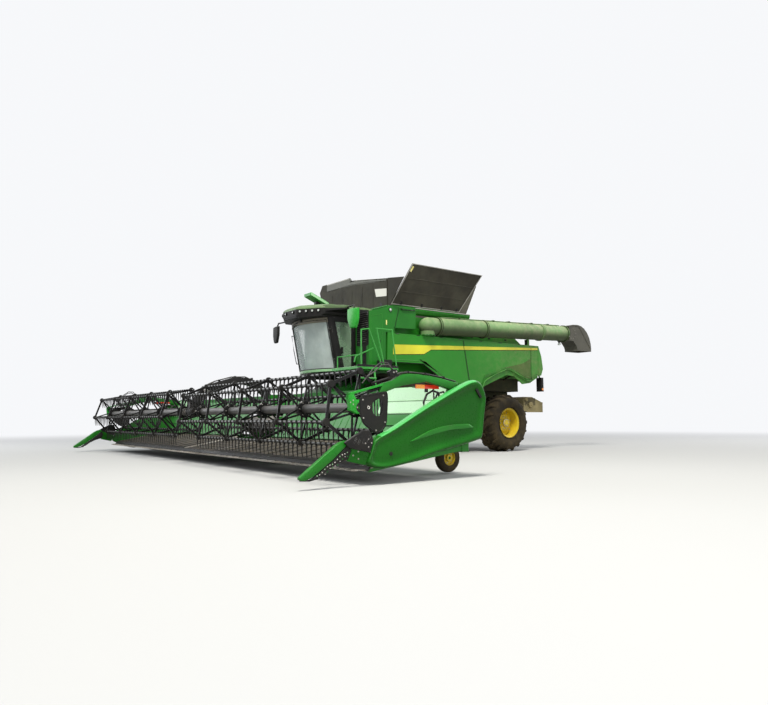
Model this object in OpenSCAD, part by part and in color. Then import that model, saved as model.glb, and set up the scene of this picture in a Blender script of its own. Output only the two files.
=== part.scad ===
// Combine harvester with a draper header, as it stands parked with the header lowered.
// Millimetres. +X is the machine's left side, its front faces -Y and +Z is up.
// Lengths along Y are measured from the front axle, heights from the ground, and
// placed() moves the finished pieces to the middle of the machine's length.

/* [Running gear] */
// Distance between the front and rear axles
wheelbase = 3960; // [3600:10:4300]
// Front tyre diameter, to the lug tips
front_tyre_d = 2100; // [1900:10:2150]
// Front tyre width
front_tyre_w = 800; // [600:10:900]
// Front rim diameter
front_rim_d = 1060; // [900:10:1200]
// Distance between the middles of the front tyres
front_track = 3000; // [2800:10:3200]
// Rear tyre diameter, to the lug tips
rear_tyre_d = 1640; // [1400:10:1750]
// Rear tyre width
rear_tyre_w = 700; // [500:10:760]
// Rear rim diameter
rear_rim_d = 800; // [650:10:900]
// Distance between the middles of the rear tyres
rear_track = 2580; // [2400:10:2800]
// Lug height on the tyres
lug_h = 50; // [25:1:70]
// Number of lugs on each half of a tyre's tread
lugs = 18; // [12:1:24]
// Width of a lug
lug_w = 62; // [40:1:80]
// Distance from a rear tyre's middle in to its kingpin
kingpin_inset = 400; // [370:5:480]

/* [Body] */
// Half width over the side panels
body_half = 1590; // [1500:5:1700]
// Thickness of a side panel
panel_t = 50; // [40:1:70]
// Height of the hinge line of the side panels
deck_z = 3100; // [3040:5:3110]
// Half width of the threshing housing
housing_half = 980; // [850:5:1020]
// Half width of the housing between the steered wheels
tail_half = 540; // [450:5:560]
// Rear end of the side panels
body_rear = 5300; // [5100:10:5500]
// Where the front panel ends and the rear panel starts
panel_split = 2160; // [2000:10:2300]
// Width of the gap between the two panels of a side
panel_gap = 14; // [8:1:30]

/* [Grain tank] */
// Front wall of the grain tank
tank_front = -280; // [-300:5:-250]
// Rear wall of the grain tank
tank_rear = 2500; // [2300:10:2520]
// Height of the tank rim
tank_rim_z = 3860; // [3750:5:3950]
// Half width of the tank at its rim
tank_half = 1540; // [1450:5:1560]
// Wall thickness of the tank
tank_wall = 12; // [6:1:20]
// Length of a side flap from hinge to free edge
side_flap_l = 1110; // [900:10:1200]
// Lean of the open side flaps from upright
side_flap_lean = 25; // [15:1:40]
// Length of the front and rear flaps from hinge to free edge
end_flap_l = 1000; // [700:10:1010]
// Thickness of a flap
flap_t = 30; // [20:1:40]

/* [Cab] */
// Half width of the cab
cab_half = 960; // [900:5:970]
// Height of the cab floor
cab_floor_z = 2180; // [2160:5:2250]
// Height of the underside of the roof
cab_roof_z = 3500; // [3400:5:3560]
// Rear wall of the cab
cab_rear = -420; // [-460:5:-400]
// Thickness of the cab's panels and posts
cab_t = 70; // [50:1:90]
// Thickness of the glass
glass_t = 8; // [5:1:12]

/* [Unloading auger] */
// Distance of the auger from the centre plane
auger_x = 1570; // [1540:5:1600]
// Place of the swing axis behind the front axle
auger_y = 900; // [850:10:1000]
// Height of the auger's middle at the swing axis
auger_z = 3405; // [3400:5:3440]
// Outer diameter of the auger tube
auger_d = 470; // [380:5:480]
// Length from the swing axis to the end of the tube
auger_l = 5680; // [4000:10:6000]
// Rise of the tube towards its end
auger_rise = 2.1; // [1.8:0.1:3]

/* [Header] */
// Half width to the outside of the end shields
header_half = 6900; // [5000:10:7000]
// Thickness of an end shield
shield_t = 140; // [110:5:150]
// Depth of the hollow along an end shield
hollow_depth = 34; // [20:1:45]
// Front tips of the crop dividers
tip_y = -5960; // [-6200:10:-5900]
// Height of the divider tips
tip_z = 170; // [120:5:220]
// Line of the knife, from the front axle
knife_y = -4820; // [-4900:10:-4780]
// Height of the knife
knife_z = 200; // [180:5:240]
// Lower edge of the back sheet
sheet_y = -3300; // [-3400:10:-3250]
// Top edge of the back sheet
sheet_top_z = 1450; // [1350:5:1500]
// Half width of the opening to the feeder house
feed_half = 900; // [800:10:1000]

/* [Reel] */
// Reel shaft, from the front axle
reel_y = -4870; // [-4900:10:-4820]
// Height of the reel shaft
reel_z = 1140; // [1120:5:1200]
// Radius of the circle of bats
reel_r = 560; // [450:5:565]
// Number of bats on each reel
bats = 6; // [5:1:8]
// Outer radius of the shaft tube
shaft_r = 75; // [55:1:90]
// Number of spiders on each reel half
spiders = 5; // [3:1:6]
// Length of a tine below its bat
tine_l = 245; // [180:5:260]
// Distance between two tines
tine_pitch = 200; // [140:10:300]

/* [Feeder house] */
// Lift axis of the feeder house, from the front axle
lift_y = -420; // [-440:5:-400]
// Height of the lift axis
lift_z = 1750; // [1740:5:1780]
// Half width of the feeder house
feeder_half = 700; // [600:5:710]

/* [Fits] */
// Radial clearance of pins, shafts and hubs
pin_gap = 0.3; // [0.1:0.1:0.4]
// Gap between a seated face and its seat
seat_gap = 0.2; // [0.1:0.1:0.4]
// Clearance between pieces that move past each other
run_gap = 15; // [8:1:25]

/* [Hidden] */
$fn = 48;

// Colours
paint_green = [0.07, 0.43, 0.11];
paint_yellow = [0.95, 0.80, 0.08];
rubber = [0.08, 0.08, 0.08];
dark_steel = [0.16, 0.16, 0.17];
grey_steel = [0.45, 0.46, 0.47];
flap_grey = [0.25, 0.24, 0.22];
glass_tint = [0.55, 0.68, 0.70];

// The spout's rear end and the divider tips bound the length of the machine.
spout_drop_l = 620;
spout_w = 460;
auger_end = [auger_x, auger_y + auger_l * cos(auger_rise), auger_z + auger_l * sin(auger_rise)];
spout_end_y = auger_end[1] + 1090;
frame_y = -(tip_y + spout_end_y) / 2;

front_axle_z = front_tyre_d / 2;
rear_axle_z = rear_tyre_d / 2;
kingpin_x = rear_track / 2 - kingpin_inset;

module placed() translate([0, frame_y, 0]) children();

// A Y-Z outline, from x0 to x1
module side_profile(points, x0, x1)
    translate([x0, 0, 0]) rotate([90, 0, 90]) linear_extrude(x1 - x0) polygon(points);

// An X-Z outline, from y0 to y1
module front_profile(points, y0, y1)
    translate([0, y1, 0]) rotate([90, 0, 0]) linear_extrude(y1 - y0) polygon(points);

// An X-Y outline, from z0 to z1
module plan_profile(points, z0, z1)
    translate([0, 0, z0]) linear_extrude(z1 - z0) polygon(points);

// A box between two values on each axis
module block(x0, x1, y0, y1, z0, z1)
    translate([x0, y0, z0]) cube([x1 - x0, y1 - y0, z1 - z0]);

// A round bar between two points
module bar(p, q, r) {
    v = q - p;
    translate(p) rotate([0, acos(v[2] / norm(v)), atan2(v[1], v[0])])
        cylinder(h = norm(v), r = r);
}

// A cylinder along X, from x0 to x1, at y and z
module x_round(x0, x1, y, z, r)
    translate([x0, y, z]) rotate([0, 90, 0]) cylinder(h = x1 - x0, r = r);

// A child on the left (1) or, mirrored, on the right (-1)
module on_side(side) mirror([side < 0 ? 1 : 0, 0, 0]) children();

module both_sides() for (side = [1, -1]) on_side(side) children();

// Running gear

// A radius and place across the tyre, taken on both halves
function both_halves(half) = concat([for (p = half) [p[0], -p[1]]],
    [for (i = [len(half) - 1:-1:0]) half[i]]);

// A tyre around the X axis, with its bead on the rim and lugs that lean back to the shoulders
module tyre(d, w, rim_d) {
    tread = d / 2 - lug_h;
    color(rubber) rotate([0, 90, 0]) {
        rotate_extrude($fn = 60) polygon(both_halves([
            [rim_d / 2, 0.38 * w], [rim_d / 2 + 29, 0.38 * w], [rim_d / 2 + 60, 0.47 * w],
            [(rim_d + d) / 4, w / 2], [tread - 110, w / 2 - 13], [tread - 20, w / 2 - 85],
            [tread, w / 2 - 190]]));
        intersection() {
            rotate_extrude($fn = 60) polygon(both_halves([
                [tread - 60, w / 2 - 120], [tread - 125, w / 2 - 40], [tread - 40, w / 2 - 15],
                [d / 2, w / 2 - 110]]));
            for (i = [0:lugs - 1], half = [1, -1])
                rotate([0, 90, (i + half / 4) * 360 / lugs]) translate([0, 0, tread - 200])
                    linear_extrude(lug_h + 220) polygon([[half * 20, lug_w / 2],
                        [-half * 0.23 * w, lug_w / 2 - 0.20 * w], [-half * 0.55 * w, lug_w / 2 - 0.34 * w],
                        [-half * 0.55 * w, -0.6 * lug_w - 0.34 * w], [-half * 0.23 * w, -lug_w / 2 - 0.20 * w],
                        [half * 20, -lug_w / 2]]);
        }
    }
}

// A rim around the X axis: barrel, dished disc at disc_x and hub reaching in to hub_x
module rim(d, w, disc_x, hub_x, hub_r, bore_r) {
    flange = d / 2 + 28;
    color(paint_yellow) rotate([0, 90, 0]) difference() {
        union() {
            rotate_extrude($fn = 60) polygon([
                [d / 2 - 22, -0.38 * w], [flange, -0.38 * w - 22], [flange, -0.38 * w - 1],
                [d / 2, -0.38 * w - 0.5], [d / 2, 0.38 * w + 0.5], [flange, 0.38 * w + 1],
                [flange, 0.38 * w + 22], [d / 2 - 22, 0.38 * w]]);
            rotate_extrude($fn = 60) polygon([
                [0, disc_x - 12], [0.27 * d, disc_x - 12], [0.36 * d, disc_x - 90],
                [d / 2 - 10, disc_x - 110], [d / 2 - 10, disc_x - 85], [0.38 * d, disc_x - 65],
                [0.29 * d, disc_x + 12], [0, disc_x + 12]]);
            translate([0, 0, hub_x]) cylinder(h = disc_x - hub_x, r = hub_r);
            translate([0, 0, disc_x]) cylinder(h = 70, r = 0.62 * hub_r);
        }
        translate([0, 0, hub_x - 1]) cylinder(h = disc_x - hub_x, r = bore_r);
    }
}

// The front hubs turn on stubs of the final drives, the rear ones on the knuckles.
drive_face_x = 1180;
front_stub_r = 80;
front_disc_x = 60;
rear_stub_r = 45;
rear_disc_x = 90;
knuckle_face_x = kingpin_x + 130;

module front_wheel(side, part)
    placed() on_side(side) translate([front_track / 2, 0, front_axle_z])
        if (part == "tyre") tyre(front_tyre_d, front_tyre_w, front_rim_d);
        else rim(front_rim_d, front_tyre_w, front_disc_x,
            drive_face_x + 0.5 - front_track / 2, 190, front_stub_r + pin_gap);

module rear_wheel(side, part)
    placed() on_side(side) translate([rear_track / 2, wheelbase, rear_axle_z])
        if (part == "tyre") tyre(rear_tyre_d, rear_tyre_w, rear_rim_d);
        else rim(rear_rim_d, rear_tyre_w, rear_disc_x,
            knuckle_face_x + 0.5 - rear_track / 2, 120, rear_stub_r + pin_gap);

module front_rim_left() front_wheel(1, "rim");
module front_rim_right() front_wheel(-1, "rim");
module front_tyre_left() front_wheel(1, "tyre");
module front_tyre_right() front_wheel(-1, "tyre");
module rear_rim_left() rear_wheel(1, "rim");
module rear_rim_right() rear_wheel(-1, "rim");
module rear_tyre_left() rear_wheel(1, "tyre");
module rear_tyre_right() rear_wheel(-1, "tyre");

housing_floor_z = 1250;
housing_top_z = 2150;
housing_front_y = -95;
rail_x = 380;
trunnion_r = 60;
trunnion_plate = [725, 765];
lift_foot = [-250, 790];
lift_head = [-2100, 560];
lift_pin_r = 30;
lift_head_pin_r = 20;
lift_x = 560;
hitch_y = 4870;
hitch_z = 1000;
hitch_pin_r = 20;

module chassis_frame() placed() color(paint_green) difference() {
    union() {
        both_sides() {
            block(rail_x - 70, rail_x + 70, -150, 4800, 1040, housing_floor_z);
            block(0, 1000, -170, 170, 880, 1240);
            x_round(700, drive_face_x, 0, front_axle_z, 225);
            x_round(drive_face_x, front_track / 2 + front_disc_x - 40, 0, front_axle_z, front_stub_r);
            side_profile([[-560, lift_z - 130], [-560, lift_z + 110], [-110, lift_z + 110],
                [-110, 1300], [-170, 1240], [-170, 900], [-260, 1000], [-400, 1500]],
                trunnion_plate[0], trunnion_plate[1]);
            // Feet of the lift cylinders
            for (x = [lift_x - 75, lift_x + 45])
                side_profile([[-170, 1000], [lift_foot[0] - 50, lift_foot[1] + 40],
                    [lift_foot[0] - 50, lift_foot[1] - 50], [lift_foot[0] + 50, lift_foot[1] - 50],
                    [-100, 900]], x, x + 30);
            x_round(lift_x - 75, lift_x + 75, lift_foot[0], lift_foot[1], lift_pin_r);
        }
        for (y = [1500, 4640]) block(-rail_x, rail_x, y, y + 120, 1060, 1200);
        // Rear axle pivot bracket and hitch
        block(-150, 150, wheelbase - 190, wheelbase - 130, rear_axle_z - 20, 1200);
        block(-150, 150, wheelbase + 130, wheelbase + 175, rear_axle_z - 20, 1200);
        block(-310, 310, wheelbase - 190, wheelbase + 175, 1060, 1200);
        block(-90, 90, 4700, hitch_y + 60, hitch_z - 30, hitch_z + 60);
    }
    translate([0, hitch_y, hitch_z - 60]) cylinder(h = 200, r = hitch_pin_r);
    both_sides()
        x_round(trunnion_plate[0] - 10, trunnion_plate[1] + 10, lift_y, lift_z, trunnion_r + pin_gap);
}

module rear_axle() placed() color(paint_green) {
    fork_x = kingpin_x + 60;
    difference() {
        union() {
            block(-kingpin_x + 130, kingpin_x - 130, wheelbase - 110, wheelbase + 110,
                rear_axle_z - 90, rear_axle_z + 90);
            both_sides() for (z = [rear_axle_z - 130, rear_axle_z + 90])
                block(kingpin_x - 230, fork_x, wheelbase - 75, wheelbase + 75, z, z + 40);
            both_sides() block(kingpin_x - 230, kingpin_x - 130, wheelbase - 100, wheelbase + 100,
                rear_axle_z - 130, rear_axle_z + 130);
            // Steering cylinder on the rear of the beam
            x_round(-260, 260, wheelbase + 235, rear_axle_z, 45);
            both_sides() block(180, 240, wheelbase + 100, wheelbase + 235, rear_axle_z - 40,
                rear_axle_z + 40);
            // Pivot pin between the brackets of the frame
            translate([0, wheelbase + 129.7, rear_axle_z + 40]) rotate([90, 0, 0])
                cylinder(h = 259.4, r = 60);
        }
        both_sides() translate([kingpin_x, wheelbase, rear_axle_z - 140])
            cylinder(h = 280, r = 35 + pin_gap);
    }
}

module knuckle(side) placed() on_side(side) color(dark_steel) {
    translate([kingpin_x, wheelbase, rear_axle_z - 128]) cylinder(h = 256, r = 35);
    translate([kingpin_x, wheelbase, rear_axle_z - 85]) cylinder(h = 170, r = 75);
    block(kingpin_x, knuckle_face_x - 30, wheelbase - 60, wheelbase + 60,
        rear_axle_z - 80, rear_axle_z + 80);
    x_round(knuckle_face_x - 40, knuckle_face_x, wheelbase, rear_axle_z, 110);
    x_round(knuckle_face_x, rear_track / 2 + rear_disc_x - 40, wheelbase, rear_axle_z, rear_stub_r);
    // Steering arm
    block(kingpin_x - 30, kingpin_x + 30, wheelbase + 40, wheelbase + 230,
        rear_axle_z - 20, rear_axle_z + 20);
}
module knuckle_left() knuckle(1);
module knuckle_right() knuckle(-1);

// Body

wall_front_y = 2560;
cab_beam = [880, 1040];
cab_base_z = cab_floor_z - 60;
tail_y = 5050;

module threshing_housing() placed() color(paint_green) {
    side_profile([[housing_front_y, 1330], [housing_front_y, housing_top_z],
        [tail_y, housing_top_z], [tail_y, 1760], [2750, 1760], [2450, housing_floor_z],
        [450, housing_floor_z], [350, 1330]], -housing_half, housing_half);
    side_profile([[2300, housing_floor_z], [2300, 1800], [tail_y, 1800], [tail_y, 1300],
        [4800, housing_floor_z]], -tail_half, tail_half);
    both_sides() {
        // Beams under the cab and the towers
        block(cab_beam[0], cab_beam[1], -1720, 200, cab_base_z - 70, cab_base_z);
        // Stays that the lower edges of the side panels close against
        for (y = [1850, 4400])
            bar([housing_half - 20, y, 2100], [body_half - panel_t - 12, y, 2300], 25);
    }
    block(-housing_half, housing_half, tail_y - 10, body_rear, housing_top_z - 60, housing_top_z);
}

module engine_block() placed() color(dark_steel) {
    block(-430, 430, 3050, 4650, housing_top_z, 2900);
    for (y = [3250:400:4450]) x_round(-380, 380, y, 2900, 70);
}

hood_top_z = 3460;
module engine_deck() placed() color(paint_green) {
    inner = body_half - panel_t;
    difference() {
        union() {
            block(-inner + 60, inner - 60, wall_front_y, body_rear, deck_z - 80, deck_z + 0.5);
            side_profile([[wall_front_y + 20, deck_z], [wall_front_y + 50, hood_top_z],
                [4700, hood_top_z - 40], [5200, deck_z]], -1150, 1150);
        }
        // Cooling air intake of the hood
        block(-1160, -700, 3000, 4200, deck_z + 60, hood_top_z + 10);
    }
    // Walls that carry the deck on the housing
    both_sides() block(housing_half - 60, housing_half, wall_front_y, body_rear,
        housing_top_z + seat_gap, deck_z - 70);
    for (y = [wall_front_y, body_rear - 60])
        block(-housing_half, housing_half, y, y + 60, housing_top_z + seat_gap, deck_z - 70);
    // Gutters that carry the hinges of the side panels
    both_sides() {
        block(inner - 110, body_half, -310, body_rear, deck_z + 0.5, deck_z + 40);
        block(tower_x + 1, body_half, -450, -310, deck_z + 0.5, deck_z + 40);
        block(inner - 110, inner - 60, -310, body_rear, deck_z - 80, deck_z + 0.5);
    }
    // Turntable of the unloading auger, on the left gutter
    block(1290, auger_x, auger_y - 200, auger_y + 200, deck_z + 40, auger_base_z - 0.5);
    translate([auger_x, auger_y, deck_z + 40])
        cylinder(h = auger_base_z - deck_z - 40.5, r = 200);
    translate([auger_x, auger_y, auger_base_z - 1]) cylinder(h = 90, r = 60);
    // Cradle under the auger tube
    cradle_y = auger_y + 0.7 * auger_l;
    block(auger_x - 90, body_half, cradle_y - 40, cradle_y + 40, deck_z + 40,
        auger_z + 0.7 * auger_l * tan(auger_rise) - auger_d / 2 - 3);
}

module cooling_screen() placed() color(dark_steel) {
    block(-1150, -700, 3000, 4200, deck_z + 60, hood_top_z - 45);
    for (y = [3040:60:4160]) block(-1155, -700, y, y + 20, hood_top_z - 45, hood_top_z - 25);
}

split_slope = 0.184;
arch_line = [[2950, 2110], [3860, 2350], [4110, 2330], [4750, 2120], [5290, 2230]];
arch_lip = [[2990, 1860], [3920, 2210], [4250, 2180], [4600, 1960], [4930, 2000], [5290, 2180]];

function split_y(z, shift) = panel_split + shift + split_slope * (deck_z - z);

// Side panels hang from the outer top edge and swing up.
module panel_front(side) placed() on_side(side) color(paint_green) {
    inner = body_half - panel_t;
    low_z = 1600;
    side_profile([[-450, deck_z], [-470, 2400], [730, 2400], [1370, 2020], [1760, low_z],
        [split_y(low_z, -panel_gap / 2), low_z], [split_y(deck_z, -panel_gap / 2), deck_z]],
        inner, body_half);
}

module panel_rear(side) placed() on_side(side) color(paint_green) {
    inner = body_half - panel_t;
    low_z = 1600;
    rear = body_rear - 10;
    front = [[split_y(deck_z, panel_gap / 2), deck_z], [split_y(low_z, panel_gap / 2), low_z],
        [2700, low_z]];
    side_profile(concat(front, arch_lip, [[rear, 2180], [rear, deck_z]]), inner, inner + panel_t / 2);
    side_profile(concat(front, arch_line, [[rear, 2230], [rear, deck_z]]), inner + panel_t / 2,
        body_half);
}
module panel_front_left() panel_front(1);
module panel_front_right() panel_front(-1);
module panel_rear_left() panel_rear(1);
module panel_rear_right() panel_rear(-1);

module rear_hood() placed() translate([0, body_rear, 0]) {
    color(paint_green) {
        side_profile([[0, 2240], [0, deck_z + 40], [30, deck_z + 40], [160, 2820], [220, 2450], [130, 2240]],
            -body_half, body_half);
        // Raised middle door with its two ribs
        side_profile([[80, 3010], [180, 2820], [238, 2450], [180, 2320], [130, 2320]], -1000, 1000);
        for (x = [-560, 560])
            side_profile([[80, 2960], [196, 2800], [254, 2450], [200, 2360], [130, 2360]], x - 25, x + 25);
    }
    // Lamp boxes
    color(dark_steel) both_sides() {
        bar([body_half - 120, 140, 2300], [body_half - 120, 220, 2120], 25);
        block(body_half - 230, body_half - 30, 170, 260, 1760, 2180);
    }
}

chopper = [5070, 5950, 1130, 1600];
disc_spin_x = 520;
disc_spin_y = 5560;
module straw_chopper() placed() color(grey_steel) {
    difference() {
        side_profile([[chopper[0], chopper[2] + 60], [chopper[0], chopper[3]], [5450, chopper[3]],
            [chopper[1], 1430], [chopper[1], chopper[2]], [5250, chopper[2]]], -1180, 1180);
        side_profile([[5180, chopper[2] - 40], [5180, chopper[3] - 120], [5450, chopper[3] - 120],
            [chopper[1] + 20, 1330], [chopper[1] + 20, chopper[2] - 40]], -1160, 1160);
    }
    both_sides() {
        block(disc_spin_x - 60, disc_spin_x + 60, disc_spin_y - 60, disc_spin_y + 60, 1260, 1500);
        translate([disc_spin_x, disc_spin_y, 1180]) cylinder(h = 100, r = 20);
        block(0, tail_half, tail_y, chopper[0], 1320, 1590);
    }
}

module spreader_disc(side) placed() on_side(side) translate([disc_spin_x, disc_spin_y, 0])
    color(dark_steel) difference() {
        union() {
            translate([0, 0, 1180]) cylinder(h = 10, r = 330);
            translate([0, 0, 1180]) cylinder(h = 79, r = 45);
            for (a = [0:60:300]) rotate([0, 0, a]) block(60, 320, -4, 4, 1189, 1235);
        }
        translate([0, 0, 1170]) cylinder(h = 100, r = 20 + pin_gap);
    }
module spreader_disc_left() spreader_disc(1);
module spreader_disc_right() spreader_disc(-1);

// Grain tank

// Half outline of the tank, w inside its outer skin
function tank_half_outline(w) = [[tank_half - w, tank_rim_z + w], [tank_half - w, tank_rim_z - 60],
    [tank_half - 40 - w, tank_rim_z - 140], [1280 - w, tank_rim_z - 190 - w / 2], [1280 - w, 3200 + w / 2],
    [930 - w / 2, 2740 + w / 2], [930 - w, housing_top_z + w]];
function mirrored(points) = [for (i = [len(points) - 1:-1:0]) [-points[i][0], points[i][1]]];
function tank_outline(w) = concat(tank_half_outline(w), mirrored(tank_half_outline(w)));

side_hinge_z = tank_rim_z + 45;
side_hinge_x = tank_half - 15;
front_hinge_y = tank_front - 60;
rear_hinge_y = tank_rear + 60;
end_hinge_z = tank_rim_z + 6;
end_flap_half = tank_half - 80;

module grain_tank() placed() color(paint_green) {
    difference() {
        front_profile(tank_outline(0), tank_front, tank_rear);
        front_profile(tank_outline(tank_wall), tank_front + tank_wall, tank_rear - tank_wall);
    }
    // Rims that carry the flap hinges
    block(-end_flap_half, end_flap_half, front_hinge_y - flap_t, tank_front, tank_rim_z - 20,
        end_hinge_z - 0.5);
    block(-end_flap_half + 200, end_flap_half - 200, tank_rear, rear_hinge_y - 0.2,
        tank_rim_z - 20, end_hinge_z - 0.5);
    both_sides() front_profile([[tank_half - 31, tank_rim_z - 30], [tank_half - 6, tank_rim_z - 30],
        [tank_half - 6, tank_rim_z - 4], [side_hinge_x - 0.2, tank_rim_z - 4],
        [side_hinge_x - 0.2, side_hinge_z - 0.2], [tank_half - 31, side_hinge_z - 0.2]],
        tank_front + 20, 2050);
    // Feet of the corner sheets
    both_sides() block(end_flap_half - 20, tank_half, front_hinge_y - 14, tank_front,
        tank_rim_z - 40, tank_rim_z - 10);
}

// Corner sheets between the front flap and the side flaps
module tank_corner_sheets() placed() color(flap_grey) {
    foot_z = tank_rim_z - 10 + seat_gap;
    front_profile([[end_flap_half + 10, foot_z], [end_flap_half + 10, 4575], [2150, 4490],
        [tank_half + 20, foot_z]], front_hinge_y - 14, front_hinge_y - 4);
    front_profile([[-end_flap_half - 10, foot_z], [-end_flap_half - 10, 4880],
        [-1730, 4880], [-1870, 4680], [-tank_half - 20, foot_z]],
        front_hinge_y - 14, front_hinge_y - 4);
}

// A side flap in its own plane: hinge along Y at the origin, free edge up
module side_flap(side) placed() on_side(side)
    translate([side_hinge_x, 0, side_hinge_z]) rotate([0, side_flap_lean, 0]) color(flap_grey) {
        side_profile([[-300, 0], [2070, 0], [2520, side_flap_l], [40, side_flap_l]], 0, flap_t);
    }
module flap_left() side_flap(1);
module flap_right() side_flap(-1);

module flap_front() placed() color(flap_grey)
    translate([0, front_hinge_y, end_hinge_z]) front_profile([[-end_flap_half, 0],
        [-end_flap_half, end_flap_l], [-260, end_flap_l], [-260, end_flap_l - 95], [0, end_flap_l - 105],
        [end_flap_half, end_flap_l - 300], [end_flap_half, 0]], -flap_t, 0);

module flap_rear() placed() color(flap_grey)
    translate([0, rear_hinge_y, end_hinge_z]) rotate([-20, 0, 0])
        front_profile([[-end_flap_half + 200, 0], [-end_flap_half + 60, end_flap_l - 60],
            [end_flap_half - 60, end_flap_l - 60], [end_flap_half - 200, 0]], 0, flap_t);

// Width of a tower beside the side panel's inner face
tower_x = body_half - panel_t - 40;
module front_towers() placed() color(paint_green) {
    rear = tank_front - 40;
    top_z = 3780;
    both_sides() {
        side_profile([[-1030, 2200], [-1030, 3640], [-430, top_z], [rear - 60, top_z],
            [rear - 60, 3500], [rear, 3500], [rear, 2200]], cab_half + 50, tower_x);
        side_profile([[-1030, 2190], [-1030, 3640], [-400, 3820], [-300, 3820], [-300, deck_z + 45],
            [-500, deck_z + 45], [-520, 2190]], tower_x, tank_half + 0.5);
        side_profile([[-1030, 2190], [-1030, 3640], [-400, 3820], [-80, 3820], [-230, 3270],
            [-230, deck_z + 45], [-500, deck_z + 45], [-520, 2190]], tank_half + 0.5, body_half - 5);
        side_profile([[-60, 3820], [460, 3830], [480, 3660], [470, 3290], [-205, 3270]],
            tank_half, body_half - 5);
        block(cab_half + 50, cab_beam[1], -1030, rear, cab_base_z, 2200);
    }
    block(-cab_half - 50, cab_half + 50, -350, rear, cab_base_z + 80, 3500);
}

// Cab

cab_bulge = 330;
cab_front_low_y = -1490;
cab_front_top_y = -1770;
pillar_w = 80;

// Plan of the cab, inset from its outside: straight sides and rear, curved windscreen
function cab_plan(front_y, inset) = let (
    radius = (cab_half * cab_half + cab_bulge * cab_bulge) / (2 * cab_bulge),
    middle_y = front_y - cab_bulge + radius,
    half = cab_half - inset,
    reach = asin(half / (radius - inset)))
    concat([[half, cab_rear - inset], [-half, cab_rear - inset]],
        [for (i = [0:10]) let (a = -reach + 2 * reach * i / 10)
            [(radius - inset) * sin(a), middle_y - (radius - inset) * cos(a)]]);

// The cab's volume, inset from its outside
module cab_volume(inset, low_z, top_z) hull() {
    translate([0, 0, low_z]) linear_extrude(1) polygon(cab_plan(cab_front_low_y, inset));
    translate([0, 0, top_z - 1]) linear_extrude(1) polygon(cab_plan(cab_front_top_y, inset));
}

door_low_z = cab_floor_z + 30;
door_rear_y = -1075;
door_top_z = cab_roof_z - 60;
// Door and side window outline: it follows the leaning front pillar
function door_outline(inset) = [[-1400 + inset, door_low_z + inset],
    [door_rear_y - inset, door_low_z + inset], [door_rear_y - inset, door_top_z - inset],
    [-1670 + inset, door_top_z - inset]];
windscreen_half = cab_half - pillar_w;

module cab_frame() placed() color(dark_steel) difference() {
    cab_volume(0, cab_base_z, cab_roof_z);
    cab_volume(cab_t, cab_floor_z, cab_roof_z + 10);
    // Windscreen, door opening, right window and rear window
    front_profile([[-windscreen_half, cab_floor_z + 40], [-windscreen_half, cab_roof_z - 60],
        [windscreen_half, cab_roof_z - 60], [windscreen_half, cab_floor_z + 40]], -2400, -1300);
    side_profile(door_outline(0), cab_half - 200, cab_half + 10);
    side_profile(door_outline(45), -cab_half - 10, -cab_half + 200);
    block(-cab_half + 250, cab_half - 250, cab_rear - cab_t - 10, cab_rear + 10, 2700, cab_roof_z - 120);
}

module cab_windows() placed() color(glass_tint) {
    intersection() {
        difference() {
            cab_volume(12, cab_base_z, cab_roof_z);
            cab_volume(12 + glass_t, cab_base_z - 5, cab_roof_z + 5);
        }
        union() {
            front_profile([[-windscreen_half, cab_floor_z + 40], [-windscreen_half, cab_roof_z - 60],
                [windscreen_half, cab_roof_z - 60], [windscreen_half, cab_floor_z + 40]], -2400, -1300);
            side_profile(door_outline(45), -cab_half - 10, -cab_half + 200);
        }
    }
    block(-cab_half + 250, cab_half - 250, cab_rear - 40, cab_rear - 40 + glass_t, 2700,
        cab_roof_z - 120);
}

// The door hangs at its rear edge.
door_gap = 6;
door_hinge_x = cab_half + 12;
module cab_door() placed() color(dark_steel) {
    difference() {
        side_profile(door_outline(door_gap), cab_half - cab_t + 5, cab_half);
        side_profile(door_outline(45), cab_half - cab_t, cab_half + 10);
    }
    // Hinge barrels just outside the door post
    for (z = [2460, 3180]) {
        translate([door_hinge_x, door_rear_y, z]) cylinder(h = 90, r = 11.7);
        block(cab_half - 10, door_hinge_x, door_rear_y - 11, door_rear_y - 7, z, z + 90);
    }
}

module door_glass() placed() color(glass_tint)
    side_profile(door_outline(45), cab_half - 40, cab_half - 40 + glass_t);

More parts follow.
